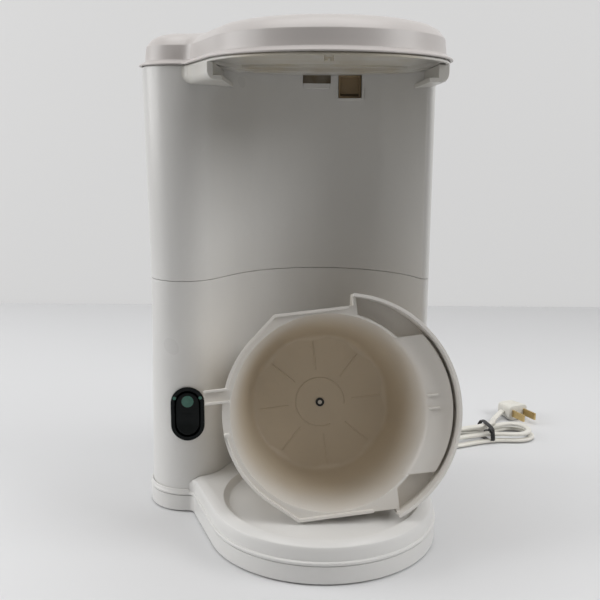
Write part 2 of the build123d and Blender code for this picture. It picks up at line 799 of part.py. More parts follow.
with BuildPart() as tank_grommet:
    for low_z, high_z, radius in (
        (tank_under_z - 1.5, tank_under_z, pipe_radius + 3),
        (tank_under_z, tank_floor_z, pipe_radius + 1),
        (tank_floor_z, tank_floor_z + 1.5, pipe_radius + 3),
    ):
        rod((riser_x, riser_y, low_z), (riser_x, riser_y, high_z), radius)
    rod(
        (riser_x, riser_y, tank_under_z - 2),
        (riser_x, riser_y, tank_floor_z + 2),
        pipe_radius,
        Mode.SUBTRACT,
    )
keep(tank_grommet, "tank_grommet")

with BuildPart() as heater_tube:
    gap_turn = degrees(heater_half_gap)
    with BuildSketch(
        Plane(
            origin=(pipe_x, outlet_y, heater_z),
            x_dir=(cos(heater_half_gap), sin(heater_half_gap), 0),
            z_dir=(sin(heater_half_gap), -cos(heater_half_gap), 0),
        )
    ):
        Circle(pipe_radius)
        Circle(pipe_bore, mode=Mode.SUBTRACT)
    revolve(axis=Axis((heater_x, heater_y, 0), (0, 0, 1)), revolution_arc=360 - 2 * gap_turn)
    for stub_y in (inlet_y, outlet_y):
        rod((pipe_x, stub_y, heater_z - pipe_radius), (pipe_x, stub_y, stub_top_z), pipe_radius)
        rod((pipe_x, stub_y, heater_z), (pipe_x, stub_y, stub_top_z), pipe_bore, Mode.SUBTRACT)
keep(heater_tube, "heater_tube")

element_z = heater_z - pipe_radius - element_radius
with BuildPart() as heater_element:
    with BuildSketch(
        Plane(
            origin=(pipe_x, outlet_y, element_z),
            x_dir=(cos(heater_half_gap), sin(heater_half_gap), 0),
            z_dir=(sin(heater_half_gap), -cos(heater_half_gap), 0),
        )
    ):
        Circle(element_radius)
    revolve(axis=Axis((heater_x, heater_y, 0), (0, 0, 1)), revolution_arc=360 - 2 * gap_turn)
keep(heater_element, "heater_element")

leg_width = 10.0
leg_wall = 1.2
pan_floor_z = foot_height + pan_floor
with BuildPart() as heater_bracket:
    for side in (-1, 1):
        leg_y = heater_y + side * heater_radius
        block(
            (heater_x - leg_width / 2, leg_y - leg_width / 2, pan_floor_z),
            (heater_x + leg_width / 2, leg_y + leg_width / 2, pan_floor_z + leg_wall),
        )
        block(
            (heater_x - leg_width / 2, leg_y - leg_wall / 2, pan_floor_z),
            (heater_x + leg_width / 2, leg_y + leg_wall / 2, element_z - element_radius),
        )
    block(
        (heater_x - leg_width / 2, heater_y - heater_radius, element_z - element_radius - leg_wall),
        (heater_x + leg_width / 2, heater_y + heater_radius, element_z - element_radius),
    )
keep(heater_bracket, "heater_bracket")

thermostat_radius = 7.5
thermostat_x = heater_x - heater_radius
with BuildPart() as thermostat:
    low_z = heater_z + pipe_radius
    rod((thermostat_x, heater_y, low_z), (thermostat_x, heater_y, low_z + 5), thermostat_radius)
    rod((thermostat_x, heater_y, low_z), (thermostat_x, heater_y, low_z + 10), 0.6 * thermostat_radius)
    for side in (-1, 1):
        block(
            (thermostat_x - 0.4, heater_y + side * 5.5 - 1.5, low_z + 4),
            (thermostat_x + 0.4, heater_y + side * 5.5 + 1.5, low_z + 15),
        )
keep(thermostat, "thermostat")

fuse_radius = 1.8
fuse_half = 6.0
with BuildPart() as thermal_fuse:
    low_z = heater_z + pipe_radius + fuse_radius
    fuse_y = heater_y + heater_radius
    rod((heater_x - fuse_half, fuse_y, low_z), (heater_x + fuse_half, fuse_y, low_z), fuse_radius)
    rod((heater_x - 2 * fuse_half, fuse_y, low_z), (heater_x + 2 * fuse_half, fuse_y, low_z), 0.5)
keep(thermal_fuse, "thermal_fuse")

with BuildPart() as check_valve:
    rod((pipe_x, inlet_y, valve_low_z), (pipe_x, inlet_y, valve_high_z), valve_radius)
    rod((pipe_x, inlet_y, valve_low_z - barb_length), (pipe_x, inlet_y, valve_high_z + barb_length), pipe_radius)
    rod(
        (pipe_x, inlet_y, valve_low_z - barb_length),
        (pipe_x, inlet_y, valve_high_z + barb_length),
        pipe_bore,
        Mode.SUBTRACT,
    )
    rod(
        (pipe_x, inlet_y, valve_low_z + 2),
        (pipe_x, inlet_y, valve_high_z - 2),
        valve_radius - 2,
        Mode.SUBTRACT,
    )
    block(
        (pipe_x - valve_radius + 1, inlet_y - 0.8, valve_low_z + 0.4),
        (pipe_x + valve_radius - 1, inlet_y + 0.8, valve_low_z + 2),
    )
keep(check_valve, "check_valve")

with BuildPart() as check_ball:
    with Locations((pipe_x, inlet_y, valve_low_z + 2 + ball_radius)):
        Sphere(ball_radius)
keep(check_ball, "check_ball")

with BuildPart() as supply_hose:
    for low_z, high_z in (
        (stub_top_z - barb_length, valve_low_z),
        (valve_high_z, tank_under_z),
    ):
        rod((pipe_x, inlet_y, low_z), (pipe_x, inlet_y, high_z), hose_radius)
        rod((pipe_x, inlet_y, low_z), (pipe_x, inlet_y, high_z), pipe_radius, Mode.SUBTRACT)
keep(supply_hose, "supply_hose")

with BuildPart() as delivery_hose:
    pipe_run(
        [
            (pipe_x, outlet_y, stub_top_z - barb_length),
            (pipe_x, outlet_y, hose_cross_z),
            (riser_x, riser_y, hose_cross_z),
            (riser_x, riser_y, riser_low_z + barb_length - 1.5),
        ],
        hose_bend,
        hose_radius,
        pipe_radius,
    )
keep(delivery_hose, "delivery_hose")

clamp_height = 4.0
clamp_wall = 0.8
clamp_points = [
    (pipe_x, inlet_y, stub_top_z - 7),
    (pipe_x, inlet_y, valve_low_z - 7),
    (pipe_x, inlet_y, valve_high_z + 3),
    (pipe_x, inlet_y, tank_under_z - 7),
    (pipe_x, outlet_y, stub_top_z - 7),
    (riser_x, riser_y, riser_low_z + 2),
]
with BuildPart() as hose_clamps:
    for clamp_x, clamp_y, clamp_z in clamp_points:
        top = (clamp_x, clamp_y, clamp_z + clamp_height)
        rod((clamp_x, clamp_y, clamp_z), top, hose_radius + clamp_wall)
        block(
            (clamp_x - 1.5, clamp_y + hose_radius, clamp_z),
            (clamp_x + 1.5, clamp_y + hose_radius + 3, clamp_z + clamp_height),
        )
        rod((clamp_x, clamp_y, clamp_z), top, hose_radius, Mode.SUBTRACT)
keep(hose_clamps, "hose_clamps")

# ---- switch -----------------------------------------------------------------------------------

bezel_face = column_radius(switch_z) + 0.9     # distances from the column's axis
bezel_wall = 2.0
bezel_back = 16.6
rocker_pivot = 19.0
pivot_stud = 1.2                # round studs the rocker turns on
pivot_reach = 1.2
pivot_slack = 0.05
rocker_width = switch_width - 2 * bezel_wall - 0.4
rocker_half = switch_height / 2 - bezel_wall - 1.4
lens_radius = 4.2
lens_up = 8.7
body_back = 2.0


def switch_level(distance):
    """Plane across the switch at a distance from the column's axis."""
    return switch_plane.offset(distance)


def pivot_run(half, radius, mode=Mode.ADD):
    """Cylinder along the rocker's axis, reaching the same distance both ways."""
    with BuildSketch(Plane(origin=switch_level(rocker_pivot).origin, z_dir=switch_plane.x_dir)) as stud:
        Circle(radius)
    extrude(stud.sketch, amount=half, both=True, mode=mode)


with BuildPart() as bezel_ring:
    with BuildSketch(switch_level(bezel_back)):
        SlotOverall(switch_height + 1.6, switch_width + 1.6, rotation=90)
    extrude(amount=bezel_face - bezel_back)
    rod((lobe_x, lobe_y, 0), (lobe_x, lobe_y, seam_z), column_radius(switch_z - 0.5 * switch_height), Mode.SUBTRACT)

with BuildPart() as switch_frame:
    add(bezel_ring.part)
    with BuildSketch(switch_level(bezel_back)):
        SlotOverall(switch_height, switch_width, rotation=90)
    extrude(amount=bezel_face - bezel_back)
    with BuildSketch(switch_level(bezel_back)):
        SlotOverall(switch_height - 2 * bezel_wall, switch_width - 2 * bezel_wall, rotation=90)
    extrude(amount=far, mode=Mode.SUBTRACT)
    pivot_run(rocker_width / 2 + pivot_reach + 0.2, pivot_stud + pivot_slack, Mode.SUBTRACT)
keep(switch_frame, "switch_frame")

with BuildPart() as rocker_prism:
    with BuildSketch(switch_level(rocker_pivot - 1.5)):
        SlotOverall(2 * rocker_half, rocker_width, rotation=90)
    extrude(amount=2 * bezel_face)
    with BuildSketch(
        Plane(origin=switch_plane.origin, x_dir=switch_plane.y_dir, z_dir=switch_plane.x_dir)
    ):
        with BuildLine():
            Polyline(
                (-far, far),
                (-far, bezel_face + 1.4),
                (-rocker_half, bezel_face + 1.4),
                (-0.1 * rocker_half, bezel_face - 0.6),
                (rocker_half, bezel_face - 1.4),
                (far, bezel_face - 1.4),
                (far, far),
                close=True,
            )
        make_face()
    extrude(amount=switch_width, both=True, mode=Mode.SUBTRACT)

lens_level = bezel_face - 3.4
with BuildPart() as switch_rocker:
    add(rocker_prism.part)
    pivot_run(rocker_width / 2 + pivot_reach, pivot_stud)
    with BuildSketch(switch_level(lens_level)):
        with Locations((0, lens_up)):
            Circle(lens_radius)
    extrude(amount=far, mode=Mode.SUBTRACT)
keep(switch_rocker, "switch_rocker")

with BuildPart() as indicator_lens:
    with BuildSketch(switch_level(lens_level)):
        with Locations((0, lens_up)):
            Circle(lens_radius)
    extrude(amount=bezel_face - lens_level - 0.8)
keep(indicator_lens, "indicator_lens")

with BuildPart() as switch_body:
    with BuildSketch(switch_level(body_back)):
        Rectangle(switch_width - 1, switch_height - 9)
    extrude(amount=bezel_back - body_back - 5.0)
    for side in (-1, 1):
        with BuildSketch(switch_level(body_back)):
            with Locations((side * (switch_width / 2 - 1.15), 0)):
                Rectangle(1.3, 8)
        extrude(amount=bezel_back - body_back)
keep(switch_body, "switch_body")

terminal_ups = (-9.0, 0.0, 9.0)
terminal_length = 8.0
with BuildPart() as switch_terminals:
    for terminal_up in terminal_ups:
        with BuildSketch(switch_level(body_back - terminal_length)):
            with Locations((0, terminal_up)):
                Rectangle(0.8, 4.8)
        extrude(amount=terminal_length)
keep(switch_terminals, "switch_terminals")

wire_radius = 1.3
wire_bend = 7.0
wire_lane = 26.0                # run of the long lead beside the cord's entry
terminal_tip = body_back - terminal_length


def terminal_point(terminal_up, back=0.0):
    """Point behind a switch terminal."""
    point = switch_level(terminal_tip - back).from_local_coords((0, terminal_up, 0))
    return (point.X, point.Y, point.Z)


with BuildPart() as lead_wires:
    pipe_run(
        [
            terminal_point(terminal_ups[0], wire_radius),
            terminal_point(terminal_ups[0], 16),
            (thermostat_x, heater_y - 5.5, switch_z + terminal_ups[0]),
            (thermostat_x, heater_y - 5.5, heater_z + pipe_radius + 15 + wire_radius),
        ],
        wire_bend,
        wire_radius,
        0,
    )
    pipe_run(
        [
            terminal_point(terminal_ups[2], wire_radius),
            terminal_point(terminal_ups[2], 12),
            (pipe_x + 3, inlet_y - 15, switch_z + terminal_ups[2]),
            (cord_x - wire_lane, heater_y + 1, switch_z + terminal_ups[2]),
            (cord_x - wire_lane, heater_y + 1, cord_exit_z + 4),
            (cord_x, housing_back_y - 16, cord_exit_z + 4),
            (cord_x, housing_back_y - 6, cord_exit_z + 4),
        ],
        wire_bend,
        wire_radius,
        0,
    )
keep(lead_wires, "lead_wires")

# ---- brew basket, standing lifted out on its rim ---------------------------------------------

basket_x, basket_y = 3.9, -22.7
basket_tilt = radians(13.2)     # mouth turned up from the horizontal
basket_turn = radians(3.2)
basket_roll = radians(6.4)
rest_gap = 0.3
bowl_radius = 62.8              # inside, at the rim
bowl_mid_radius = 50.8
bowl_foot_radius = 48.9
bowl_depth = 77.1
bowl_curve = 6.1                # height of the curve at the bowl's foot
bowl_wall = 1.8
bowl_floor = 2.0
flange_radius = 67.8
flange_flat = 65.7
flange_corner = 27.4
flange_thick = 2.0
flange_wall = 1.8
flange_wall_height = 3.0
flange_wall_end = 20.3
shell_x = 9.0
shell_radius = 74.6
shell_wall = 2.0
shell_drop = 10.1
shell_rise = 8.6
shell_top_turn = radians(78.6)
shell_low_turn = radians(-69.1)
platform_gap = 2.2              # slot between the ledge and the shell
platform_high, platform_low = 42.0, -45.5
platform_dip = 1.4              # ledge's inner edge under the bowl's rim
platform_slope = 0.14
platform_round = 4.0            # rounding where the ledge runs down into the bowl
chute_low_v, chute_high_v = 14.1, 23.3
chute_end_u = 77.1
chute_wall = 1.5
chute_rise = 4.0
notch_low_v = -5.1
drip_hole = 2.2
mark_radius = 17.9              # raised C ring round the valve
mark_width = 0.8
mark_height = 0.6
mark_gap_turn = -40.5
spoke_middle, spoke_length = 33.5, 20.7
seal_radius = 3.1
stem_radius = 1.2
button_radius = 4.0
button_drop = 6.4               # button's top below the floor's inside
guard_radius = 9.5

mouth = Vector(
    sin(basket_turn) * cos(basket_tilt),
    -cos(basket_turn) * cos(basket_tilt),
    sin(basket_tilt),
)
level_right = Vector(cos(basket_turn), sin(basket_turn), 0)
basket_right = level_right * cos(basket_roll) + mouth.cross(level_right) * sin(basket_roll)
basket_up = mouth.cross(basket_right)
bowl_under = bowl_depth + bowl_floor
bowl_mid_depth = bowl_depth - bowl_curve
platform_radius = shell_radius - shell_wall - platform_gap
platform_reach = shell_x + platform_radius + 1
low_spots = (
    flange_corner * basket_right.Z + flange_flat * basket_up.Z + flange_thick * mouth.Z,
    (bowl_mid_radius + bowl_wall) * hypot(basket_right.Z, basket_up.Z) + bowl_mid_depth * mouth.Z,
)
basket_origin = Vector(basket_x, basket_y, seat_z + rest_gap + max(low_spots))
basket_plane = Plane(origin=basket_origin, x_dir=basket_right, z_dir=mouth)
basket_section = Plane(origin=basket_origin, x_dir=basket_right, z_dir=-basket_up)
shell_top = (
    shell_x + (shell_radius - 1) * cos(shell_top_turn),
    (shell_radius - 1) * sin(shell_top_turn),
)
shell_low = (
    shell_x + (shell_radius - 1) * cos(shell_low_turn),
    (shell_radius - 1) * sin(shell_low_turn),
)


def basket_level(height):
    """Plane across the basket at a height over its rim."""
    return basket_plane.offset(height)


def basket_block(low, high, mode=Mode.ADD):
    """Box between two corners given in the basket's own directions."""
    with BuildSketch(basket_level(low[2])) as face:
        with Locations(((low[0] + high[0]) / 2, (low[1] + high[1]) / 2)):
            Rectangle(high[0] - low[0], high[1] - low[1])
    extrude(face.sketch, amount=high[2] - low[2], mode=mode)


def basket_disc(radius, low, high, mode=Mode.ADD, centre=(0, 0)):
    """Disc between two heights over the rim."""
    with BuildSketch(basket_level(low)) as face:
        with Locations(centre):
            Circle(radius)
    extrude(face.sketch, amount=high - low, mode=mode)


def flange_outline(height, grow=0.0):
    """Outline of the flange: round at the back, flat at the sides."""
    corner_turn = atan2(flange_flat, -flange_corner)
    touch = corner_turn + acos(flange_radius / hypot(flange_flat, flange_corner))
    touch_u, touch_v = flange_radius * cos(touch), flange_radius * sin(touch)
    with BuildSketch(basket_level(height)) as outline:
        Circle(flange_radius)
        Rectangle(4 * flange_radius, 2 * flange_flat, mode=Mode.INTERSECT)
        with BuildLine():
            Polyline(
                (touch_u, touch_v),
                (-flange_corner, flange_flat),
                (shell_top[0], flange_flat),
                (shell_top[0], 0),
                (shell_low[0], 0),
                (shell_low[0], -flange_flat),
                (-flange_corner, -flange_flat),
                (touch_u, -touch_v),
                close=True,
            )
        make_face()
        for edge_u, edge_v in (shell_top, shell_low):
            with Locations((edge_u + flange_radius, (edge_v > 0) * 2 * flange_radius - flange_radius)):
                Rectangle(2 * flange_radius, 2 * flange_radius, mode=Mode.SUBTRACT)
        if grow:
            offset(amount=grow, kind=Kind.INTERSECTION)
    return outline


def shell_sector(height, radius, grow=0.0):
    """Sector of the front shell's disc."""
    reach = 2 * shell_radius
    with BuildSketch(basket_level(height)) as outline:
        with BuildLine():
            Polyline(
                (shell_x, 0),
                (shell_x + reach * cos(shell_low_turn), reach * sin(shell_low_turn)),
                (shell_x + 2 * reach, 0),
                (shell_x + reach * cos(shell_top_turn), reach * sin(shell_top_turn)),
                close=True,
            )
        make_face()
        with Locations((shell_x, 0)):
            Circle(radius, mode=Mode.INTERSECT)
        if grow:
            with Locations((shell_x, 0)):
                Circle(radius - grow, mode=Mode.SUBTRACT)
    return outline


# run of the ledge's top from the bowl's wall outwards, as radius and height over the rim
ledge_run = [
    (bowl_radius - 0.25 * platform_round, -platform_dip - platform_round),
    (bowl_radius + 0.06 * platform_round, -platform_dip - 0.42 * platform_round),
    (bowl_radius + 0.4 * platform_round, -platform_dip - 0.1 * platform_round),
    (bowl_radius + platform_round, platform_slope * platform_round - platform_dip),
    (platform_reach, platform_slope * (platform_reach - bowl_radius) - platform_dip),
]


def ledge_side(level):
    """All that lies on one side of the ledge's top, within the ledge's own plan."""
    with BuildSketch(basket_section) as profile:
        with BuildLine():
            Polyline(
                (ledge_run[0][0], level),
                *ledge_run,
                (platform_reach, level),
                close=True,
            )
        make_face()
    revolve(profile.sketch, axis=Axis(basket_origin, mouth))
    basket_disc(platform_radius, -shell_drop - 1, shell_drop, Mode.INTERSECT, (shell_x, 0))
    basket_block(
        (0, platform_low, -shell_drop - 1),
        (far, platform_high, shell_drop),
        Mode.INTERSECT,
    )


with BuildPart() as platform:
    ledge_side(2 - shell_drop)

with BuildPart() as platform_clear:
    ledge_side(shell_drop - 2)

with BuildPart() as basket:
    extrude(flange_outline(-flange_thick).sketch, amount=flange_thick + flange_wall_height)
    extrude(flange_outline(0, -flange_wall).sketch, amount=far, mode=Mode.SUBTRACT)
    basket_block((flange_wall_end, -far, 0), (far, far, far), Mode.SUBTRACT)
    basket_block((-far, notch_low_v, 0), (-bowl_mid_radius, chute_high_v - 0.3, far), Mode.SUBTRACT)
    basket_block(
        (-flange_radius + 0.6, notch_low_v - 2, 0),
        (-flange_radius + 3.6, notch_low_v, flange_wall_height + 1.5),
    )
    extrude(shell_sector(-shell_drop, shell_radius - 1).sketch, amount=2)
    extrude(shell_sector(-shell_drop, shell_radius, shell_wall).sketch, amount=shell_drop + shell_rise)
    basket_block((shell_top[0], bowl_mid_radius, -shell_drop), (shell_top[0] + 2, shell_top[1], 0))
    basket_block((shell_low[0], shell_low[1], -shell_drop), (shell_low[0] + 2, -bowl_mid_radius, 0))
    add(platform.part)
    with BuildSketch(basket_section):
        with BuildLine():
            Polyline(
                (0, -bowl_under),
                (bowl_foot_radius + bowl_wall - 2.6, -bowl_under),
                (bowl_foot_radius + bowl_wall, 2.6 - bowl_under),
                (bowl_mid_radius + bowl_wall, -bowl_mid_depth),
                (bowl_radius + bowl_wall, 0),
                (0, 0),
                close=True,
            )
        make_face()
    revolve(axis=Axis(basket_origin, mouth))
    with BuildSketch(basket_section):
        with BuildLine():
            Polyline(
                (0, -bowl_depth),
                (bowl_foot_radius - 2, -bowl_depth),
                (bowl_foot_radius + 0.4, 2 - bowl_depth),
                (bowl_mid_radius, -bowl_mid_depth),
                (bowl_radius, 0),
                (bowl_radius, far),
                (0, far),
                close=True,
            )
        make_face()
    revolve(axis=Axis(basket_origin, mouth), mode=Mode.SUBTRACT)
    add(platform_clear.part, mode=Mode.SUBTRACT)
    for rib_v in (2.7, -5.6):
        basket_block(
            (bowl_radius + 0.5, rib_v - 0.6, -2 * platform_dip),
            (bowl_radius + 8.0, rib_v + 0.6, 0.9),
        )
    basket_block(
        (-chute_end_u, chute_low_v, -chute_wall),
        (-bowl_radius + 1.2, chute_high_v, 0),
    )
    for wall_v in (chute_low_v, chute_high_v - chute_wall):
        basket_block(
            (-chute_end_u, wall_v, -chute_wall),
            (-bowl_radius + 1.2, wall_v + chute_wall, chute_rise),
        )
    with BuildSketch(basket_level(-bowl_depth)) as floor_marks:
        Circle(mark_radius)
        Circle(mark_radius - mark_width, mode=Mode.SUBTRACT)
        with PolarLocations(0.95 * mark_radius, 1, mark_gap_turn):
            Rectangle(0.4 * mark_radius, mark_radius, mode=Mode.SUBTRACT)
        with PolarLocations(spoke_middle, 8):
            Rectangle(spoke_length, mark_width)
    extrude(floor_marks.sketch, amount=mark_height)
    basket_disc(guard_radius, -bowl_under - 4, -bowl_under)
    basket_disc(guard_radius - 1.5, -bowl_under - 4, -bowl_under, Mode.SUBTRACT)
    basket_disc(drip_hole, -bowl_under, -bowl_depth, Mode.SUBTRACT)
keep(basket, "basket")

with BuildPart() as valve_seal:
    basket_disc(seal_radius, -bowl_depth, 1 - bowl_depth)
    basket_disc(stem_radius, -bowl_depth, 1 - bowl_depth, Mode.SUBTRACT)
keep(valve_seal, "valve_seal")

with BuildPart() as valve_stem:
    basket_disc(stem_radius, -bowl_depth - button_drop, 1 - bowl_depth)
    basket_disc(0.47 * seal_radius, 1 - bowl_depth, 1.6 - bowl_depth)
    basket_disc(button_radius, -bowl_depth - button_drop - 1.5, -bowl_depth - button_drop)
keep(valve_stem, "valve_stem")

spring_radius = 3.0
spring_wire = 0.25
spring_length = button_drop - bowl_floor - 2 * spring_wire - 0.1
with BuildPart() as valve_spring:
    spring_foot = basket_level(-bowl_under - spring_length - spring_wire - 0.05).origin
    with BuildLine() as coil:
        Helix(spring_length / 2.5, spring_length, spring_radius, center=spring_foot, direction=mouth)
    with BuildSketch(Plane(origin=coil.line @ 0, z_dir=coil.line % 0)) as wire:
        Circle(spring_wire)
    sweep(wire.sketch, path=coil.wires()[0], is_frenet=True)
keep(valve_spring, "valve_spring")

# ---- mains cord ---------------------------------------------------------------------------------

cord_radius = 2.0
relief_length = 20.0
hank_x, hank_y = 127.0, 165.0
hank_turn = 15.0
hank_length = 134.0
hank_width = 36.0
hank_height = 15.0
plug_x, plug_y, plug_z = 186.0, 231.0, 7.4
plug_turn = 25.0
plug_length = 21.0
plug_depth = 20.0
plug_height = 14.4
blade_length = 16.0
blade_width = 6.3
blade_thick = 1.5
blade_spacing = 12.7
tie_along = 0.17                # tie's place along the hank, from its middle

hank_along = (cos(radians(hank_turn)), sin(radians(hank_turn)))


def hank_point(along, across, height):
    """Point given along and across the hank."""
    return (
        hank_x + along * hank_along[0] - across * hank_along[1],
        hank_y + along * hank_along[1] + across * hank_along[0],
        height,
    )


def plug_point(along, out, height):
    """Point given along the plug's body and out of its back."""
    turn = radians(plug_turn)
    return (
        plug_x + along * cos(turn) - out * sin(turn),
        plug_y + along * sin(turn) + out * cos(turn),
        height,
    )


def cord_run(points):
    """Round cord along a route, each bend as wide as its shorter run allows."""
    bends = []
    for before, here, after in zip(points, points[1:], points[2:]):
        into, out = Vector(*here) - Vector(*before), Vector(*after) - Vector(*here)
        half_turn = radians(into.get_angle(out)) / 2
        bends.append(0.45 * min(into.length, out.length) / tan(half_turn))
    print("bends", [round(bend, 1) for bend in bends])
    with BuildLine() as route:
        FilletPolyline(*points, radius=bends)
    with BuildSketch(Plane(origin=route.line @ 0, z_dir=route.line % 0)) as section:
        Circle(cord_radius)
    sweep(section.sketch, path=route.wires()[0])


relief_end_y = housing_back_y + relief_length
lead_points = [
    (cord_x, relief_end_y, cord_exit_z),
    (cord_x, relief_end_y + 12, cord_exit_z),
    (cord_x + 3, relief_end_y + 40, cord_radius + 0.2),
    (cord_x + 34, relief_end_y + 46, cord_radius + 0.2),
    (cord_x + 58, relief_end_y + 22, cord_radius + 0.2),
    hank_point(-0.5 * hank_length - 2.8, 0, 6),
]
tail_points = [
    hank_point(0.24 * hank_length, 0.5 * hank_width + cord_radius + 0.2, 8),
    (hank_x + 36, hank_y + 43, cord_radius + 2.6),
    plug_point(-0.5 * plug_length - 1.6, 0, 7),
]

with BuildPart() as strain_relief:
    with BuildSketch(Plane(origin=(cord_x, housing_back_y - 2 * wall, cord_exit_z), z_dir=(0, 1, 0))):
        Circle(cord_hole_radius - 0.1)
    extrude(amount=2 * wall)
    rod(
        (cord_x, housing_back_y, cord_exit_z),
        (cord_x, housing_back_y + 2, cord_exit_z),
        cord_hole_radius + 2,
    )
    with BuildSketch(Plane(origin=(cord_x, housing_back_y + 2, cord_exit_z), z_dir=(0, 1, 0))) as wide:
        Circle(cord_hole_radius)
    with BuildSketch(Plane(origin=(cord_x, relief_end_y, cord_exit_z), z_dir=(0, 1, 0))) as narrow:
        Circle(cord_radius + 0.9)
    loft(sections=[wide.sketch, narrow.sketch], ruled=True)
    rod(
        (cord_x, relief_end_y - 1, cord_exit_z),
        (cord_x, relief_end_y, cord_exit_z),
        cord_radius,
        Mode.SUBTRACT,
    )
keep(strain_relief, "strain_relief")

with BuildPart() as cord_lead:
    cord_run(lead_points)
keep(cord_lead, "cord_lead")

with BuildPart() as cord_hank:
    with BuildSketch(Plane.XY.offset(0.2)):
        with Locations(Location((hank_x, hank_y, 0), (0, 0, hank_turn))):
            RectangleRounded(hank_length, hank_width, 0.49 * hank_width)
    extrude(amount=hank_height)
keep(cord_hank, "cord_hank")

with BuildPart() as cord_tail:
    cord_run(tail_points)
keep(cord_tail, "cord_tail")

with BuildPart() as cord_tie:
    with Locations(Location(hank_point(tie_along * hank_length, 0, 0.1), (0, 0, hank_turn))):
        Box(5, hank_width + 2, hank_height + 1, align=(Align.CENTER, Align.CENTER, Align.MIN))
    add(cord_hank.part, mode=Mode.SUBTRACT)
keep(cord_tie, "cord_tie")

with BuildPart() as plug_body:
    with Locations(Location((plug_x, plug_y, plug_z), (0, 0, plug_turn))):
        Box(plug_length, plug_depth, plug_height)
    fillet(plug_body.edges(), radius=2)
keep(plug_body, "plug_body")

with BuildPart() as plug_blades:
    blade_out = 0.5 * plug_depth + 0.5 * blade_length
    for side in (-0.5, 0.5):
        with Locations(Location(plug_point(side * blade_spacing, -blade_out, plug_z), (0, 0, plug_turn))):
            Box(blade_thick, blade_length, blade_width)
keep(plug_blades, "plug_blades")
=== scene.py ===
import bmesh
import bpy
import numpy as np
from mathutils import Matrix, Vector


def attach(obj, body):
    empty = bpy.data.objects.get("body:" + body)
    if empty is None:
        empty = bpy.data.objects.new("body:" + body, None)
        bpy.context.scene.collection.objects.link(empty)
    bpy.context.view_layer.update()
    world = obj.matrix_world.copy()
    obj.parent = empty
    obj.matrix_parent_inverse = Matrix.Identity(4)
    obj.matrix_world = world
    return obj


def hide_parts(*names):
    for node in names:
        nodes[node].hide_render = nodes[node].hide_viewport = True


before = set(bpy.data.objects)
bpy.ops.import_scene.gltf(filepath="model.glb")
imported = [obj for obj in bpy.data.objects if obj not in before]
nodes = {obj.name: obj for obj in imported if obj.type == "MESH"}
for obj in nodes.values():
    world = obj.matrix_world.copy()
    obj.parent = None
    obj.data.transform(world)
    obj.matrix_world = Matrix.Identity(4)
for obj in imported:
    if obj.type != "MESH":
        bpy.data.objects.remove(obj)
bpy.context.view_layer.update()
scene = bpy.context.scene

# The camera stands a good half metre in front, at the height of the tank, and looks a little
# down on the maker. A 50 mm lens on a 36 mm sensor gives the picture's frame.
view_data = bpy.data.cameras.new("front_view")
view_data.lens = 50.59
view_data.sensor_width = 36.0
view_data.clip_start = 0.01
view = bpy.data.objects.new("front_view", view_data)
view.matrix_world = (
    Matrix.Translation((-0.0151, -0.5330, 0.2640))
    @ Matrix.Rotation(np.radians(90 - 11.27), 4, "X")
    @ Matrix.Rotation(np.radians(0.37), 4, "Z")
)
scene.collection.objects.link(view)
scene.camera = view


# Base pan and base cover: two white polypropylene mouldings, screwed together from below.
# Their edges come off the mould slightly rounded, and the surface has a faint orange peel,
# slow changes of tone and gloss, and a little dust in patches.
def plain_group(name, inputs, outputs):
    """An empty shader group with these named sockets."""
    group = bpy.data.node_groups.new(name, "ShaderNodeTree")
    for socket, kind, value in inputs:
        made = group.interface.new_socket(socket, in_out="INPUT", socket_type=kind)
        made.default_value = value
    for socket, kind in outputs:
        group.interface.new_socket(socket, in_out="OUTPUT", socket_type=kind)
    return group


surface_group = plain_group(
    "moulded_surface",
    [
        ("Colour", "NodeSocketColor", (0.8, 0.8, 0.8, 1)),
        ("Shade", "NodeSocketColor", (0.7, 0.7, 0.68, 1)),
        ("Patch Scale", "NodeSocketFloat", 12.0),
        ("Patch Amount", "NodeSocketFloat", 0.35),
        ("Speck Amount", "NodeSocketFloat", 0.15),
        ("Roughness", "NodeSocketFloat", 0.3),
        ("Roughness Spread", "NodeSocketFloat", 0.08),
        ("Grain Scale", "NodeSocketFloat", 700.0),
        ("Grain Height", "NodeSocketFloat", 0.02),
    ],
    [("Colour", "NodeSocketColor"), ("Roughness", "NodeSocketFloat"), ("Normal", "NodeSocketVector")],
)


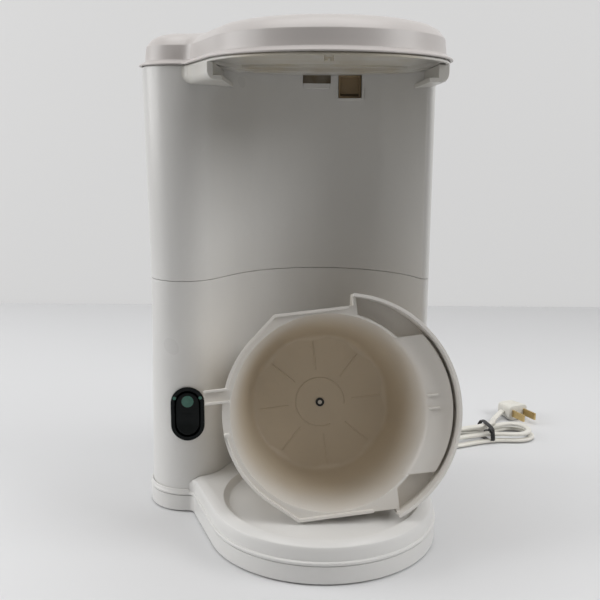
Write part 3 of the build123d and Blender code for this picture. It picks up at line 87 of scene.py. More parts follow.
def fill_surface_group(group):
    """Tone: a slow noise and fine specks mix colour and shade. Gloss: the noise moves roughness.
    Grain: a fine noise as a bump, over a slow waviness of the moulded wall."""
    make, join = group.nodes.new, group.links.new
    given, out = make("NodeGroupInput"), make("NodeGroupOutput")
    place = make("ShaderNodeTexCoord")

    def noise(scale, detail):
        node = make("ShaderNodeTexNoise")
        node.inputs["Detail"].default_value = detail
        join(place.outputs["Object"], node.inputs["Vector"])
        if isinstance(scale, str):
            join(given.outputs[scale], node.inputs["Scale"])
        else:
            node.inputs["Scale"].default_value = scale
        return node.outputs["Fac"]

    def stretched(value, low, high):
        node = make("ShaderNodeMapRange")
        node.inputs["From Min"].default_value = low
        node.inputs["From Max"].default_value = high
        join(value, node.inputs["Value"])
        return node.outputs["Result"]

    def product(first, second, third=None):
        node = make("ShaderNodeMath")
        node.operation = "MULTIPLY" if third is None else "MULTIPLY_ADD"
        join(first, node.inputs[0])
        join(second, node.inputs[1])
        if third is not None:
            join(third, node.inputs[2])
        return node.outputs[0]

    slow = noise("Patch Scale", 1)
    patches = product(stretched(slow, 0.0, 1.0), given.outputs["Patch Amount"])
    specks = product(stretched(noise(420.0, 2), 0.66, 0.78), given.outputs["Speck Amount"], patches)
    tone = make("ShaderNodeMix")
    tone.data_type = "RGBA"
    join(specks, tone.inputs["Factor"])
    join(given.outputs["Colour"], tone.inputs[6])
    join(given.outputs["Shade"], tone.inputs[7])
    join(tone.outputs[2], out.inputs["Colour"])
    gloss = product(stretched(noise(24.0, 1), 0.1, 0.9), given.outputs["Roughness Spread"])
    total = make("ShaderNodeMath")
    join(gloss, total.inputs[0])
    join(given.outputs["Roughness"], total.inputs[1])
    join(total.outputs[0], out.inputs["Roughness"])
    wave = make("ShaderNodeBump")
    wave.inputs["Strength"].default_value = 0.06
    wave.inputs["Distance"].default_value = 0.0008
    join(noise(38.0, 1), wave.inputs["Height"])
    bump = make("ShaderNodeBump")
    bump.inputs["Distance"].default_value = 0.0004
    join(given.outputs["Grain Height"], bump.inputs["Strength"])
    join(noise("Grain Scale", 2), bump.inputs["Height"])
    join(wave.outputs["Normal"], bump.inputs["Normal"])
    join(bump.outputs["Normal"], out.inputs["Normal"])


fill_surface_group(surface_group)


def moulded(name, colour, shade, metallic=0.0, coat=0.0, ior=1.46, **settings):
    """A Principled material whose tone, gloss and grain come from the moulded surface group."""
    material = bpy.data.materials.new(name)
    material.use_nodes = True
    tree = material.node_tree
    shader = tree.nodes["Principled BSDF"]
    effect = tree.nodes.new("ShaderNodeGroup")
    effect.name = "surface"
    effect.node_tree = surface_group
    effect.inputs["Colour"].default_value = (*colour, 1)
    effect.inputs["Shade"].default_value = (*shade, 1)
    for socket, value in settings.items():
        effect.inputs[socket.replace("_", " ").title()].default_value = value
    tree.links.new(effect.outputs["Colour"], shader.inputs["Base Color"])
    tree.links.new(effect.outputs["Roughness"], shader.inputs["Roughness"])
    tree.links.new(effect.outputs["Normal"], shader.inputs["Normal"])
    shader.inputs["Metallic"].default_value = metallic
    shader.inputs["Coat Weight"].default_value = coat
    shader.inputs["IOR"].default_value = ior
    return material


def new_piece(name, mesh, material, body, *replaced, slot=None, smooth=40):
    """Links a finished mesh as a piece with its material, riding on a body."""
    obj = bpy.data.objects.new(name, mesh)
    scene.collection.objects.link(obj)
    mesh.materials.clear()
    mesh.materials.append(material)
    if smooth:
        mesh.shade_smooth()
        mesh.set_sharp_from_angle(angle=np.radians(smooth))
    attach(obj, body)
    if replaced:
        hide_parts(*replaced)
    return obj


def moulding(node, material, body, slot, round_edge, rounded_from=30):
    """A moulding with rounded edges: the part's own shape with its points merged and its flat
    faces joined up, then every edge sharper than the given angle rounded to this radius."""
    mesh = nodes[node].data.copy()
    shape = bmesh.new()
    shape.from_mesh(mesh)
    bmesh.ops.remove_doubles(shape, verts=shape.verts, dist=0.00009)
    bmesh.ops.dissolve_limit(shape, angle_limit=np.radians(0.05), verts=shape.verts, edges=shape.edges)
    sharp = [e for e in shape.edges if e.is_manifold and e.calc_face_angle(0) > np.radians(rounded_from)]
    bmesh.ops.bevel(
        shape, geom=sharp, offset=round_edge, offset_type="OFFSET", segments=2, profile=0.5, affect="EDGES",
        clamp_overlap=False, loop_slide=True,
    )
    bmesh.ops.triangulate(shape, faces=[f for f in shape.faces if len(f.verts) > 4])
    shape.to_mesh(mesh)
    shape.free()
    obj = new_piece(node + "_shell", mesh, material, body, node, slot=slot, smooth=rounded_from)
    obj.modifiers.new("flat_faces", "WEIGHTED_NORMAL").keep_sharp = True
    return obj


WHITE_TONES = (0.735, 0.73, 0.715), (0.655, 0.64, 0.61)
WHITE_FINISH = {"roughness": 0.27, "roughness_spread": 0.03, "patch_amount": 0.15}
white_shell = moulded("white_shell", *WHITE_TONES, **WHITE_FINISH)
moulding("base_pan", white_shell, "housing", "white_plastic", 0.0003)
moulding("base_cover", white_shell, "housing", "white_plastic", 0.0004)

# Lower and upper housing: the hollow column, the niche wall the pitcher stands against and the
# tank over it. The two openings under the lid are stained tan inside by years of tea.
region_group = plain_group(
    "region_mask",
    [
        ("Middle", "NodeSocketVector", (0, 0, 0)),
        ("Reach", "NodeSocketVector", (0.01, 0.01, 0.01)),
        ("Softness", "NodeSocketFloat", 0.003),
        ("Blotch Scale", "NodeSocketFloat", 120.0),
        ("Blotch Depth", "NodeSocketFloat", 0.004),
    ],
    [("Mask", "NodeSocketFloat")],
)


def fill_region_group(group):
    """One inside a box round the middle, nought outside, with a soft and blotchy border: the
    largest of |place - middle| - reach over the three axes, moved by a noise, is mapped to 1..0."""
    make, join = group.nodes.new, group.links.new
    given, out = make("NodeGroupInput"), make("NodeGroupOutput")
    place = make("ShaderNodeTexCoord")

    def vector_step(kind, first, second=None):
        node = make("ShaderNodeVectorMath")
        node.operation = kind
        join(first, node.inputs[0])
        if second is not None:
            join(second, node.inputs[1])
        return node.outputs[0]

    def step(kind, first, second):
        node = make("ShaderNodeMath")
        node.operation = kind
        join(first, node.inputs[0])
        join(second, node.inputs[1])
        return node.outputs[0]

    away = vector_step("SUBTRACT", place.outputs["Object"], given.outputs["Middle"])
    past = vector_step("SUBTRACT", vector_step("ABSOLUTE", away), given.outputs["Reach"])
    parts = make("ShaderNodeSeparateXYZ")
    join(past, parts.inputs[0])
    furthest = step("MAXIMUM", step("MAXIMUM", parts.outputs[0], parts.outputs[1]), parts.outputs[2])
    blotch = make("ShaderNodeTexNoise")
    blotch.inputs["Detail"].default_value = 4
    join(place.outputs["Object"], blotch.inputs["Vector"])
    join(given.outputs["Blotch Scale"], blotch.inputs["Scale"])
    centred = make("ShaderNodeMath")
    centred.operation = "SUBTRACT"
    centred.inputs[1].default_value = 0.5
    join(blotch.outputs["Fac"], centred.inputs[0])
    moved = step("ADD", step("MULTIPLY", centred.outputs[0], given.outputs["Blotch Depth"]), furthest)
    fade = step("DIVIDE", moved, given.outputs["Softness"])
    mapped = make("ShaderNodeMapRange")
    mapped.interpolation_type = "SMOOTHSTEP"
    for socket, value in zip(("From Min", "From Max", "To Min", "To Max"), (0, 1, 1, 0)):
        mapped.inputs[socket].default_value = value
    join(fade, mapped.inputs["Value"])
    join(mapped.outputs["Result"], out.inputs["Mask"])


fill_region_group(region_group)


def stain_where(material, colour, middle, reach, strength=1.0, **settings):
    """Tints a moulded material inside a box, on top of whatever already tints it."""
    tree = material.node_tree
    effect = tree.nodes["surface"]
    region = tree.nodes.new("ShaderNodeGroup")
    region.node_tree = region_group
    region.inputs["Middle"].default_value = middle
    region.inputs["Reach"].default_value = reach
    for socket, value in settings.items():
        region.inputs[socket.replace("_", " ").title()].default_value = value
    share = tree.nodes.new("ShaderNodeMath")
    share.operation = "MULTIPLY"
    share.inputs[1].default_value = strength
    tree.links.new(region.outputs["Mask"], share.inputs[0])
    for socket, darker in (("Colour", 1.0), ("Shade", 0.88)):
        tint = tree.nodes.new("ShaderNodeMix")
        tint.data_type = "RGBA"
        tree.links.new(share.outputs[0], tint.inputs["Factor"])
        linked = effect.inputs[socket].links
        if linked:
            tree.links.new(linked[0].from_socket, tint.inputs[6])
        else:
            tint.inputs[6].default_value = effect.inputs[socket].default_value
        tint.inputs[7].default_value = (*(c * darker for c in colour), 1)
        tree.links.new(tint.outputs[2], effect.inputs[socket])


tank_shell = moulded("tank_shell", *WHITE_TONES, **WHITE_FINISH)
# the splash guard and the walls behind the two openings
stain_where(
    tank_shell, (0.36, 0.27, 0.15), (0.008, 0.1095, 0.295), (0.026, 0.0115, 0.0135), 0.92,
    softness=0.002, blotch_depth=0.002,
)
moulding("lower_housing", white_shell, "housing", "white_plastic", 0.0003)
moulding("upper_housing", tank_shell, "housing", "white_plastic", 0.0003)

# Head deck: the moulding that closes the tank over the basket bay, with the rails the basket's
# flange slides in. Its underside has yellowed from steam, more so between the rails.
deck_shell = moulded(
    "deck_shell", (0.70, 0.69, 0.66), (0.60, 0.57, 0.50), roughness=0.28, patch_scale=60.0,
    patch_amount=0.45,
)
stain_where(
    deck_shell, (0.58, 0.52, 0.40), (0.0, -0.005, 0.2975), (0.044, 0.066, 0.0045), 0.7,
    softness=0.014, blotch_scale=60.0, blotch_depth=0.02,
)
moulding("head_deck", deck_shell, "housing", "white_plastic", 0.0003)

# Lid: one white shell, crowned over the bay and stepped over the tank, with a lip all round.
# It turns on two steel pins at the back.
lid_shell = moulded(
    "lid_shell", (0.585, 0.555, 0.54), (0.53, 0.495, 0.475), roughness=0.3, roughness_spread=0.1,
    patch_amount=0.4,
)
moulding("lid", lid_shell, "lid", "white_plastic", 0.0004)

# Outlet spout: a short box of the same plastic, pressed into the right opening of the tank's
# front wall. It pours into the basket and is brown inside from tea.
spout_shell = moulded(
    "spout_shell", (0.34, 0.25, 0.14), (0.25, 0.17, 0.085), roughness=0.32, patch_scale=150.0,
    patch_amount=0.6,
)
moulding("outlet_spout", spout_shell, "housing", "spout_plastic", 0.0003)

# Rocker switch: a glossy black bezel and rocker. The rocker's lower half is dished and bowed
# away from a ridge across the middle, and the round green lens sits in its upper half.
COLUMN_AXIS_X, COLUMN_AXIS_Y = -0.094994, 0.0505
BEZEL_REACH = 0.026368
SWITCH_TURN = np.radians(5.6)
SWITCH_MIDDLE = np.array(
    [
        COLUMN_AXIS_X + BEZEL_REACH * np.sin(SWITCH_TURN),
        COLUMN_AXIS_Y - BEZEL_REACH * np.cos(SWITCH_TURN),
        0.0718,
    ]
)
switch_black = moulded(
    "switch_black", (0.002, 0.0035, 0.004), (0.008, 0.01, 0.01), roughness=0.09, roughness_spread=0.07,
    patch_scale=140.0, patch_amount=0.5, speck_amount=0.5, grain_scale=1500.0, grain_height=0.015, ior=1.22,
)
moulding("switch_frame", switch_black, "housing", "black_plastic", 0.0006)


def switch_place(across, up, out):
    """Points given in mm across, up and out from the bezel's face, put in the frame in metres."""
    c, s = np.cos(SWITCH_TURN), np.sin(SWITCH_TURN)
    across, up, out = (np.asarray(v, float) / 1000 for v in (across, up, out))
    return np.stack(
        (
            SWITCH_MIDDLE[0] + across * c + out * s,
            SWITCH_MIDDLE[1] + across * s - out * c,
            SWITCH_MIDDLE[2] + up + 0 * out,
        ),
        -1,
    )


def grid_mesh(name, points, close_u=False, close_v=False, caps=False, weld=False):
    """Quads over an array of points (u, v, 3); either way may close, and caps shut the two ends.
    With weld, points that fall together at a pole or spine are merged and the faces turned out."""
    rows, cols = points.shape[:2]
    u = np.arange(rows if close_u else rows - 1)[:, None]
    v = np.arange(cols if close_v else cols - 1)[None, :]
    un, vn = (u + 1) % rows, (v + 1) % cols
    quads = np.stack((u * cols + v, u * cols + vn, un * cols + vn, un * cols + v), -1).reshape(-1, 4)
    faces = quads.tolist()
    if caps:
        faces.append(list(range(cols))[::-1])
        faces.append(list(range((rows - 1) * cols, rows * cols)))
    mesh = bpy.data.meshes.new(name)
    mesh.from_pydata(points.reshape(-1, 3), [], faces)
    if weld:
        shape = bmesh.new()
        shape.from_mesh(mesh)
        bmesh.ops.remove_doubles(shape, verts=shape.verts, dist=1e-6)
        bmesh.ops.recalc_face_normals(shape, faces=shape.faces)
        shape.to_mesh(mesh)
        shape.free()
    mesh.update()
    return mesh


def stadium(count, half_width, half_height):
    """A stadium outline, count points: straight sides with half-round ends, even in angle."""
    angle = np.linspace(0, 2 * np.pi, count, endpoint=False)
    reach = half_height - half_width
    side = np.stack((half_width * np.cos(angle), half_width * np.sin(angle)), -1)
    side[:, 1] += reach * np.tanh(np.sin(angle) * 6)
    return side


def rocker_face(across, up):
    """Height of the rocker's face: the higher of two slopes meets it on a bowed ridge, and the
    lower half is dished by the square of the way across and a half sine along it."""
    ridge = up + 1.3 + 0.04 * across**2
    lower = -1.15 - 0.158 * ridge
    upper = -1.15 - 0.035 * ridge
    dish = 0.55 * np.sin(np.pi * np.clip(-ridge / 13.5, 0, 1)) * (1 - 0.6 * (across / 8.6) ** 2)
    bead = 0.35 * np.exp(-((ridge / 0.7) ** 2))
    return np.where(ridge < 0, lower - dish, upper) + bead


ROCKER_HALF_WIDTH, ROCKER_HALF_HEIGHT = 8.5, 15.0
outline = stadium(120, ROCKER_HALF_WIDTH, ROCKER_HALF_HEIGHT)
spine = outline * np.array([0, 1]) * (ROCKER_HALF_HEIGHT - ROCKER_HALF_WIDTH) / ROCKER_HALF_HEIGHT
share = np.concatenate((np.linspace(0, 0.9, 28), np.linspace(0.92, 1, 7)))[:, None, None]
face_plan = spine + (outline - spine) * share
fall = 0.55 * np.clip((share[..., 0] - 0.9) / 0.1, 0, 1) ** 2
face_out = rocker_face(face_plan[..., 0], face_plan[..., 1]) - fall
skirt_out = np.array([0.3, 1.5, 4.0, 8.0])[:, None]
skirt = np.repeat(outline[None], len(skirt_out), 0)
inner_point = np.zeros((1, len(outline)))
rocker_points = np.concatenate(
    (
        switch_place(face_plan[..., 0], face_plan[..., 1], face_out),
        switch_place(skirt[..., 0], skirt[..., 1], face_out[-1][None] - skirt_out),
        switch_place(inner_point, inner_point, inner_point - 9.0),
    )
)
new_piece(
    "rocker_cap", grid_mesh("rocker_cap", rocker_points, close_v=True, weld=True), switch_black, "rocker",
    "switch_rocker", slot="black_plastic", smooth=50,
)

# Lamp lens: clear green plastic with fine ribs up its face, let into the rocker's upper half.
# The lamp is off, so it looks a dark teal. Two small beads of the same green on the bezel beside it are
# painted reflections of green light.
lens_and_reflection_green = moulded(
    "lens_and_reflection_green", (0.014, 0.10, 0.072), (0.03, 0.17, 0.12), roughness=0.12, roughness_spread=0.12,
    patch_scale=500.0, patch_amount=0.8, coat=0.5, grain_height=0.0,
)
lens_turn = np.linspace(0, 2 * np.pi, 96, endpoint=False)[None, :]
LENS_RADIUS, LENS_UP, RIB_PITCH = 3.9, 8.7, 0.62
lens_reach = np.concatenate((np.linspace(0, LENS_RADIUS, 40), [4.12, 4.18, 4.18]))[:, None]
lens_across, lens_up = lens_reach * np.cos(lens_turn), lens_reach * np.sin(lens_turn)
ribs = 0.05 * np.cos(2 * np.pi * lens_across / RIB_PITCH) * (lens_reach < 3.8)
lens_out = -0.82 - 0.18 * (lens_reach / LENS_RADIUS) ** 2 + ribs
lens_out[-2:] = np.array([[-1.5], [-3.2]])
lens_points = np.concatenate(
    (
        switch_place(lens_across, lens_up + LENS_UP, lens_out),
        switch_place(0 * lens_turn, 0 * lens_turn + LENS_UP, 0 * lens_turn - 3.3),
    )
)
new_piece(
    "lens_window", grid_mesh("lens_window", lens_points, close_v=True, weld=True), lens_and_reflection_green, "rocker",
    "indicator_lens", slot="green_lens", smooth=60,
)


def bead_cap(name, across, up, radius, height, material, body, slot):
    """A low round bead on the bezel, used for the painted green reflections: the outer half of a flattened
    ball.
    """
    turn = np.linspace(0, 2 * np.pi, 32, endpoint=False)[None, :]
    rise = np.concatenate((np.linspace(0, np.pi / 2, 9), [np.pi / 2]))[:, None]
    out = height * np.cos(rise)
    out[-1] = -0.7
    points = switch_place(
        across + radius * np.sin(rise) * np.cos(turn),
        up + radius * np.sin(rise) * np.sin(turn),
        out + 0 * turn,
    )
    under = switch_place(0 * turn + across, 0 * turn + up, 0 * turn - 0.8)
    mesh = grid_mesh(name, np.concatenate((points, under)), close_v=True, weld=True)
    return new_piece(name, mesh, material, body, slot=slot)


# Painted reflections: two beads in the lens green on the bezel, where green light shows as reflections.
for tag, reflection_across in (("left", -8.9), ("right", 8.9)):
    bead_cap("green_reflection_bead_" + tag, reflection_across, 11.6, 1.2, 0.14, lens_and_reflection_green, "housing", "green_lens")

# Brew basket: the same white plastic inside and out, brown from tea where the brew stands and
# paler towards the rim. It leans on the pitcher plate with its mouth to the front.
BASKET_MIDDLE = Vector((0.0039, -0.0227, 0.08972))
BASKET_MOUTH = Vector((0.054347, -0.972061, 0.228351))
basket_shell = moulded(
    "basket_shell", (0.76, 0.745, 0.715), (0.69, 0.65, 0.60), roughness=0.26, roughness_spread=0.12,
    patch_scale=40.0, patch_amount=0.35, speck_amount=0.4,
)


def stain_deeper(material, colour, middle, axis, near, far, strength):
    """Tints a moulded material more the deeper a place lies: the distance along the axis from
    the middle goes from nought at near to one at far, with a cloudy noise added to it."""
    tree = material.node_tree
    make, join = tree.nodes.new, tree.links.new
    place = make("ShaderNodeTexCoord")
    away = make("ShaderNodeVectorMath")
    away.operation = "SUBTRACT"
    away.inputs[1].default_value = middle
    join(place.outputs["Object"], away.inputs[0])
    along = make("ShaderNodeVectorMath")
    along.operation = "DOT_PRODUCT"
    along.inputs[1].default_value = axis
    join(away.outputs[0], along.inputs[0])
    cloud = make("ShaderNodeTexNoise")
    cloud.inputs["Scale"].default_value = 22.0
    cloud.inputs["Detail"].default_value = 6
    join(place.outputs["Object"], cloud.inputs["Vector"])
    moved = make("ShaderNodeMath")
    moved.operation = "MULTIPLY_ADD"
    moved.inputs[1].default_value = 0.03
    join(cloud.outputs["Fac"], moved.inputs[0])
    join(along.outputs["Value"], moved.inputs[2])
    depth = make("ShaderNodeMapRange")
    depth.interpolation_type = "SMOOTHSTEP"
    depth.inputs["From Min"].default_value = near
    depth.inputs["From Max"].default_value = far
    depth.inputs["To Max"].default_value = strength
    join(moved.outputs[0], depth.inputs["Value"])
    effect = tree.nodes["surface"]
    for socket, darker in (("Colour", 1.0), ("Shade", 0.85)):
        tint = make("ShaderNodeMix")
        tint.data_type = "RGBA"
        join(depth.outputs["Result"], tint.inputs["Factor"])
        tint.inputs[6].default_value = effect.inputs[socket].default_value
        tint.inputs[7].default_value = (*(c * darker for c in colour), 1)
        join(tint.outputs[2], effect.inputs[socket])


stain_deeper(basket_shell, (0.70, 0.61, 0.48), BASKET_MIDDLE, -BASKET_MOUTH, 0.0, 0.075, 1.0)
moulding("basket", basket_shell, "basket", "basket_plastic", 0.0002, 42)

# The mains cord is a flat white appliance cord, about 5 mm wide. It drops from the strain relief
# to the table, runs behind the maker into a hank of five runs held by a black wire tie, and
# ends in a moulded side-entry plug.
HANK_AT = np.array([0.127, 0.165])
HANK_TURN = np.radians(15.0)


def hank_place(points):
    """Points given in mm as (along, across, height) of the hank, put in the frame in metres."""
    p = np.asarray(points, float) / 1000
    c, s = np.cos(HANK_TURN), np.sin(HANK_TURN)
    return np.stack(
        (
            HANK_AT[0] + p[..., 0] * c - p[..., 1] * s,
            HANK_AT[1] + p[..., 0] * s + p[..., 1] * c,
            p[..., 2],
        ),
        -1,
    )


def cord_line(name, points):
    """A NURBS curve with these control points, open, through its two ends."""
    curve = bpy.data.curves.new(name, "CURVE")
    curve.dimensions = "3D"
    spline = curve.splines.new("NURBS")
    spline.points.add(len(points) - 1)
    spline.points.foreach_set("co", np.column_stack((points, np.ones(len(points)))).ravel())
    spline.order_u = 3
    spline.use_endpoint_u = True
    spline.resolution_u = 10
    return curve


lead_route = np.array(
    [
        (-10, 153.4, 26), (-10, 166, 26), (-9.6, 181, 19.5), (-8, 195, 9), (-2, 208, 2.2), (15, 213, 2.2),
        (32, 203, 2.2), (43, 184, 2.2), (47, 163, 2.2), (56, 146, 2.2),
    ]
) / 1000
hank_route = hank_place(
    [
        (-50, -15.6, 2.2), (-32, -15.6, 2.2), (-8, -13.6, 2.2), (12, -9.8, 2.2), (30, -9.6, 2.2),
        (45, -15.2, 2.2), (57, -14.8, 2.2), (64.5, -7, 2.2), (64.5, 7, 2.2), (56.5, 15.2, 2.2),
        (44, 15.2, 2.2), (30, 9.6, 2.2), (12, 9.8, 2.2), (-8, 13.6, 2.2), (-30, 15.6, 2.2),
        (-46, 15.6, 2.6), (-57.5, 15, 3.8), (-65, 7.4, 5.2), (-65, -6.6, 6.8), (-57, -14.4, 7.2),
        (-43, -14, 7.2), (-22, -11.6, 7.2), (4, -6.8, 7.2), (26, -6.6, 7.2), (42, -12.8, 7.2),
        (54, -13.6, 7.2), (62, -6.4, 7.2), (62, 6.4, 7.2), (54, 13.6, 7.2), (42, 12.8, 7.2),
        (26, 6.6, 7.2), (4, 6.8, 7.2), (-22, 11.6, 7.2), (-42, 13.8, 7.4), (-54, 13.8, 8.4),
        (-62, 6.6, 9.8), (-62, -5.8, 11.2), (-53.5, -12.8, 12.0), (-40, -12, 12.3), (-20, -6.5, 12.3),
        (0, -1.6, 12.4), (14, -0.6, 12.5), (25, 2, 12.5), (33, 8, 11.7), (37.5, 16, 9.0),
    ]
)
tail_route = np.array([(162.5, 205.5, 4.6), (168.5, 217.5, 5.0), (176.4, 226.8, 7.2)]) / 1000
cord_route = np.vstack((lead_route, hank_route, tail_route))
guide = bpy.data.objects.new("cord_guide", cord_line("cord_guide", cord_route))
scene.collection.objects.link(guide)
bpy.context.view_layer.update()
line_mesh = bpy.data.meshes.new_from_object(guide.evaluated_get(bpy.context.evaluated_depsgraph_get()))
cord_path = np.empty(len(line_mesh.vertices) * 3)
line_mesh.vertices.foreach_get("co", cord_path)
cord_path = cord_path.reshape(-1, 3)
bpy.data.objects.remove(guide)


def tube_along(path, section):
    """A section (n, 2) of across and up offsets carried along a path (m, 3), kept level."""
    ahead = np.gradient(path, axis=0)
    ahead /= np.linalg.norm(ahead, axis=1)[:, None]
    side = np.cross(ahead, (0, 0, 1.0))
    side /= np.linalg.norm(side, axis=1)[:, None]
    rise = np.cross(side, ahead)
    return (
        path[:, None, :]
        + section[None, :, :1] * side[:, None, :]
        + section[None, :, 1:] * rise[:, None, :]
    )


cord_vinyl = moulded(
    "cord_vinyl", (0.78, 0.765, 0.71), (0.63, 0.605, 0.54), patch_scale=70.0, patch_amount=0.6,
    speck_amount=0.4, roughness=0.36, grain_scale=900.0, grain_height=0.05,
)
CORD_HALF_WIDTH, CORD_HALF_HEIGHT = 0.0025, 0.0016
cord_turn = np.linspace(0, 2 * np.pi, 28, endpoint=False)
groove = 1 - 0.3 * np.exp(-((np.cos(cord_turn) / 0.2) ** 2))
flat_section = np.column_stack(
    (
        CORD_HALF_WIDTH * np.sign(np.cos(cord_turn)) * np.abs(np.cos(cord_turn)) ** 0.85,
        CORD_HALF_HEIGHT * np.sign(np.sin(cord_turn)) * np.abs(np.sin(cord_turn)) ** 0.75 * groove,
    )
)
cord_mesh = grid_mesh("mains_cord", tube_along(cord_path, flat_section), close_v=True, caps=True)
mains_cord = new_piece(
    "mains_cord", cord_mesh, cord_vinyl, "housing", "cord_lead", "cord_hank", "cord_tail",
    slot="cord_plastic", smooth=60,
)

# Strain relief: a tapered vinyl sleeve pushed into the back wall, with a collar that holds it
# there and shallow rings that let it bend.
RELIEF_X, RELIEF_Z = -10.0, 26.0
taper = np.linspace(0, 1, 60)
rings = 0.32 * (np.cos(np.linspace(0, 10 * np.pi, 60)) < -0.2)
relief_y = np.concatenate(
    (
        [128.7, 128.7, 130.8, 130.8, 131.0, 133.5, 133.6, 135.1, 135.4],
        np.linspace(135.9, 152.6, 60),
        [153.0, 153.3, 153.4, 153.4],
    )
)
relief_r = np.concatenate(
    (
        [0.0, 4.85, 4.85, 4.85, 4.85, 4.85, 6.9, 6.9, 6.4],
        4.95 - 2.1 * taper - rings,
        [2.85, 2.7, 2.4, 0.0],
    )
)
ring = np.linspace(0, 2 * np.pi, 40, endpoint=False)
relief_points = np.stack(
    (
        (RELIEF_X + relief_r[:, None] * np.cos(ring)) / 1000,
        (relief_y[:, None] + 0 * ring) / 1000,
        (RELIEF_Z + relief_r[:, None] * np.sin(ring)) / 1000,
    ),
    -1,
)
relief_sleeve = new_piece(
    "relief_sleeve", grid_mesh("relief_sleeve", relief_points, close_v=True, weld=True), cord_vinyl,
    "housing", "strain_relief", slot="cord_plastic", smooth=35,
)

# Plug: a flat moulded body, thickest at the blades, with rounded corners and finger grips on
# both faces. The cord goes in at its side, and two brass blades stand out of its front.
PLUG_X, PLUG_Y, PLUG_Z = 186.0, 231.0, 7.4
PLUG_TURN = np.radians(25)


def plug_place(along, out, up):
    """Points given in mm along, out and up from the plug's middle, put in the frame in metres."""
    c, s = np.cos(PLUG_TURN), np.sin(PLUG_TURN)
    return np.stack(
        (
            (PLUG_X + along * c - out * s) / 1000,
            (PLUG_Y + along * s + out * c) / 1000,
            (PLUG_Z + up) / 1000,
        ),
        -1,
    )


station = np.concatenate(([-10.0, -10.0, -9.7, -9.0], np.linspace(-8.0, 8.0, 60), [9.0, 9.7, 10.0, 10.0]))
swell = np.concatenate(([0.0, 0.9, 0.965, 0.99], np.linspace(1.0, 0.86, 60), [0.83, 0.78, 0.68, 0.0]))
station, swell = station[:, None], swell[:, None]
grips = 0.55 * (np.cos(station * np.pi / 1.7) < 0.1) * (station > -3.5) * (station < 7.5)
corner = np.linspace(0, 2 * np.pi, 64, endpoint=False)[None, :]
plug_along = 10.4 * swell * np.sign(np.cos(corner)) * np.abs(np.cos(corner)) ** 0.42
plug_up = (7.1 * swell - grips) * np.sign(np.sin(corner)) * np.abs(np.sin(corner)) ** 0.42
plug_points = plug_place(plug_along, station + 0 * corner, plug_up)
plug_shell = new_piece(
    "plug_shell", grid_mesh("plug_shell", plug_points, close_v=True, weld=True), cord_vinyl, "housing",
    "plug_body", slot="cord_plastic", smooth=40,
)

# Black wire tie: a flat plastic strip with a wire in it, wrapped round the five runs of the
# hank. Its two ends are twisted together and fanned out.
tie_black = moulded(
    "tie_black", (0.006, 0.006, 0.007), (0.02, 0.02, 0.02), roughness=0.34, patch_scale=200.0,
    grain_height=0.05,
)
TIE_ALONG = 22.8
tie_turn = np.linspace(0, 2 * np.pi, 72, endpoint=False)
tie_bulge = 1 + 0.03 * np.cos(5 * tie_turn + 0.7)
tie_loop = np.stack(
    (
        TIE_ALONG + 0.5 * np.sin(tie_turn * 2),
        12.7 * tie_bulge * np.sign(np.cos(tie_turn)) * np.abs(np.cos(tie_turn)) ** 0.62,
        7.9 + 7.0 * tie_bulge * np.sign(np.sin(tie_turn)) * np.abs(np.sin(tie_turn)) ** 0.62,
    ),
    -1,
)
tie_section = np.array(
    [
        (-1.9, -0.35), (-1.9, 0.35), (-0.4, 0.42), (0.4, 0.7),
        (0.4, 0.7), (1.9, 0.35), (1.9, -0.35), (0, -0.4),
    ]
)
tie_out = np.stack((0 * tie_turn, np.cos(tie_turn), np.sin(tie_turn)), -1)
tie_points = (
    tie_loop[:, None, :]
    + tie_section[None, :, :1] * np.array([1.0, 0, 0])
    + tie_section[None, :, 1:] * tie_out[:, None, :]
)
tie_points[..., 2] = np.maximum(tie_points[..., 2], 0.15)
tie_mesh = grid_mesh("tie_band", hank_place(tie_points), close_u=True, close_v=True, weld=True)
tie_band = new_piece(
    "tie_band", tie_mesh, tie_black, "housing", "cord_tie", slot="tie_black", smooth=50
)


def round_wire(name, middle, radius, material, slot):
    """A round wire along points in mm of the hank: rings carried along the line, ends closed."""
    path = hank_place(middle)
    around = np.linspace(0, 2 * np.pi, 10, endpoint=False)
    circle = np.column_stack((np.cos(around), np.sin(around))) * radius / 1000
    mesh = grid_mesh(name, tube_along(path, circle), close_v=True, caps=True)
    return new_piece(name, mesh, material, "housing", slot=slot)


twist = np.linspace(0, 1, 40)
for tag, phase in (("one", 0.0), ("two", np.pi)):
    fan = np.clip((twist - 0.55) / 0.45, 0, 1) ** 1.5
    way = np.stack(
        (
            TIE_ALONG
            + 1.0 * np.cos(twist * 11 + phase) * (1 - fan) - 6.5 * twist + fan * (2.5 * np.cos(phase)),
            -12.4 - 1.0 * twist + 0.9 * np.sin(twist * 11 + phase) * (1 - fan),
            9.6 + 6.2 * twist * (1 - 0.3 * fan) + fan * 0.6 * np.cos(phase),
        ),
        -1,
    )
    round_wire("tie_end_" + tag, way, 0.75, tie_black, "tie_black")

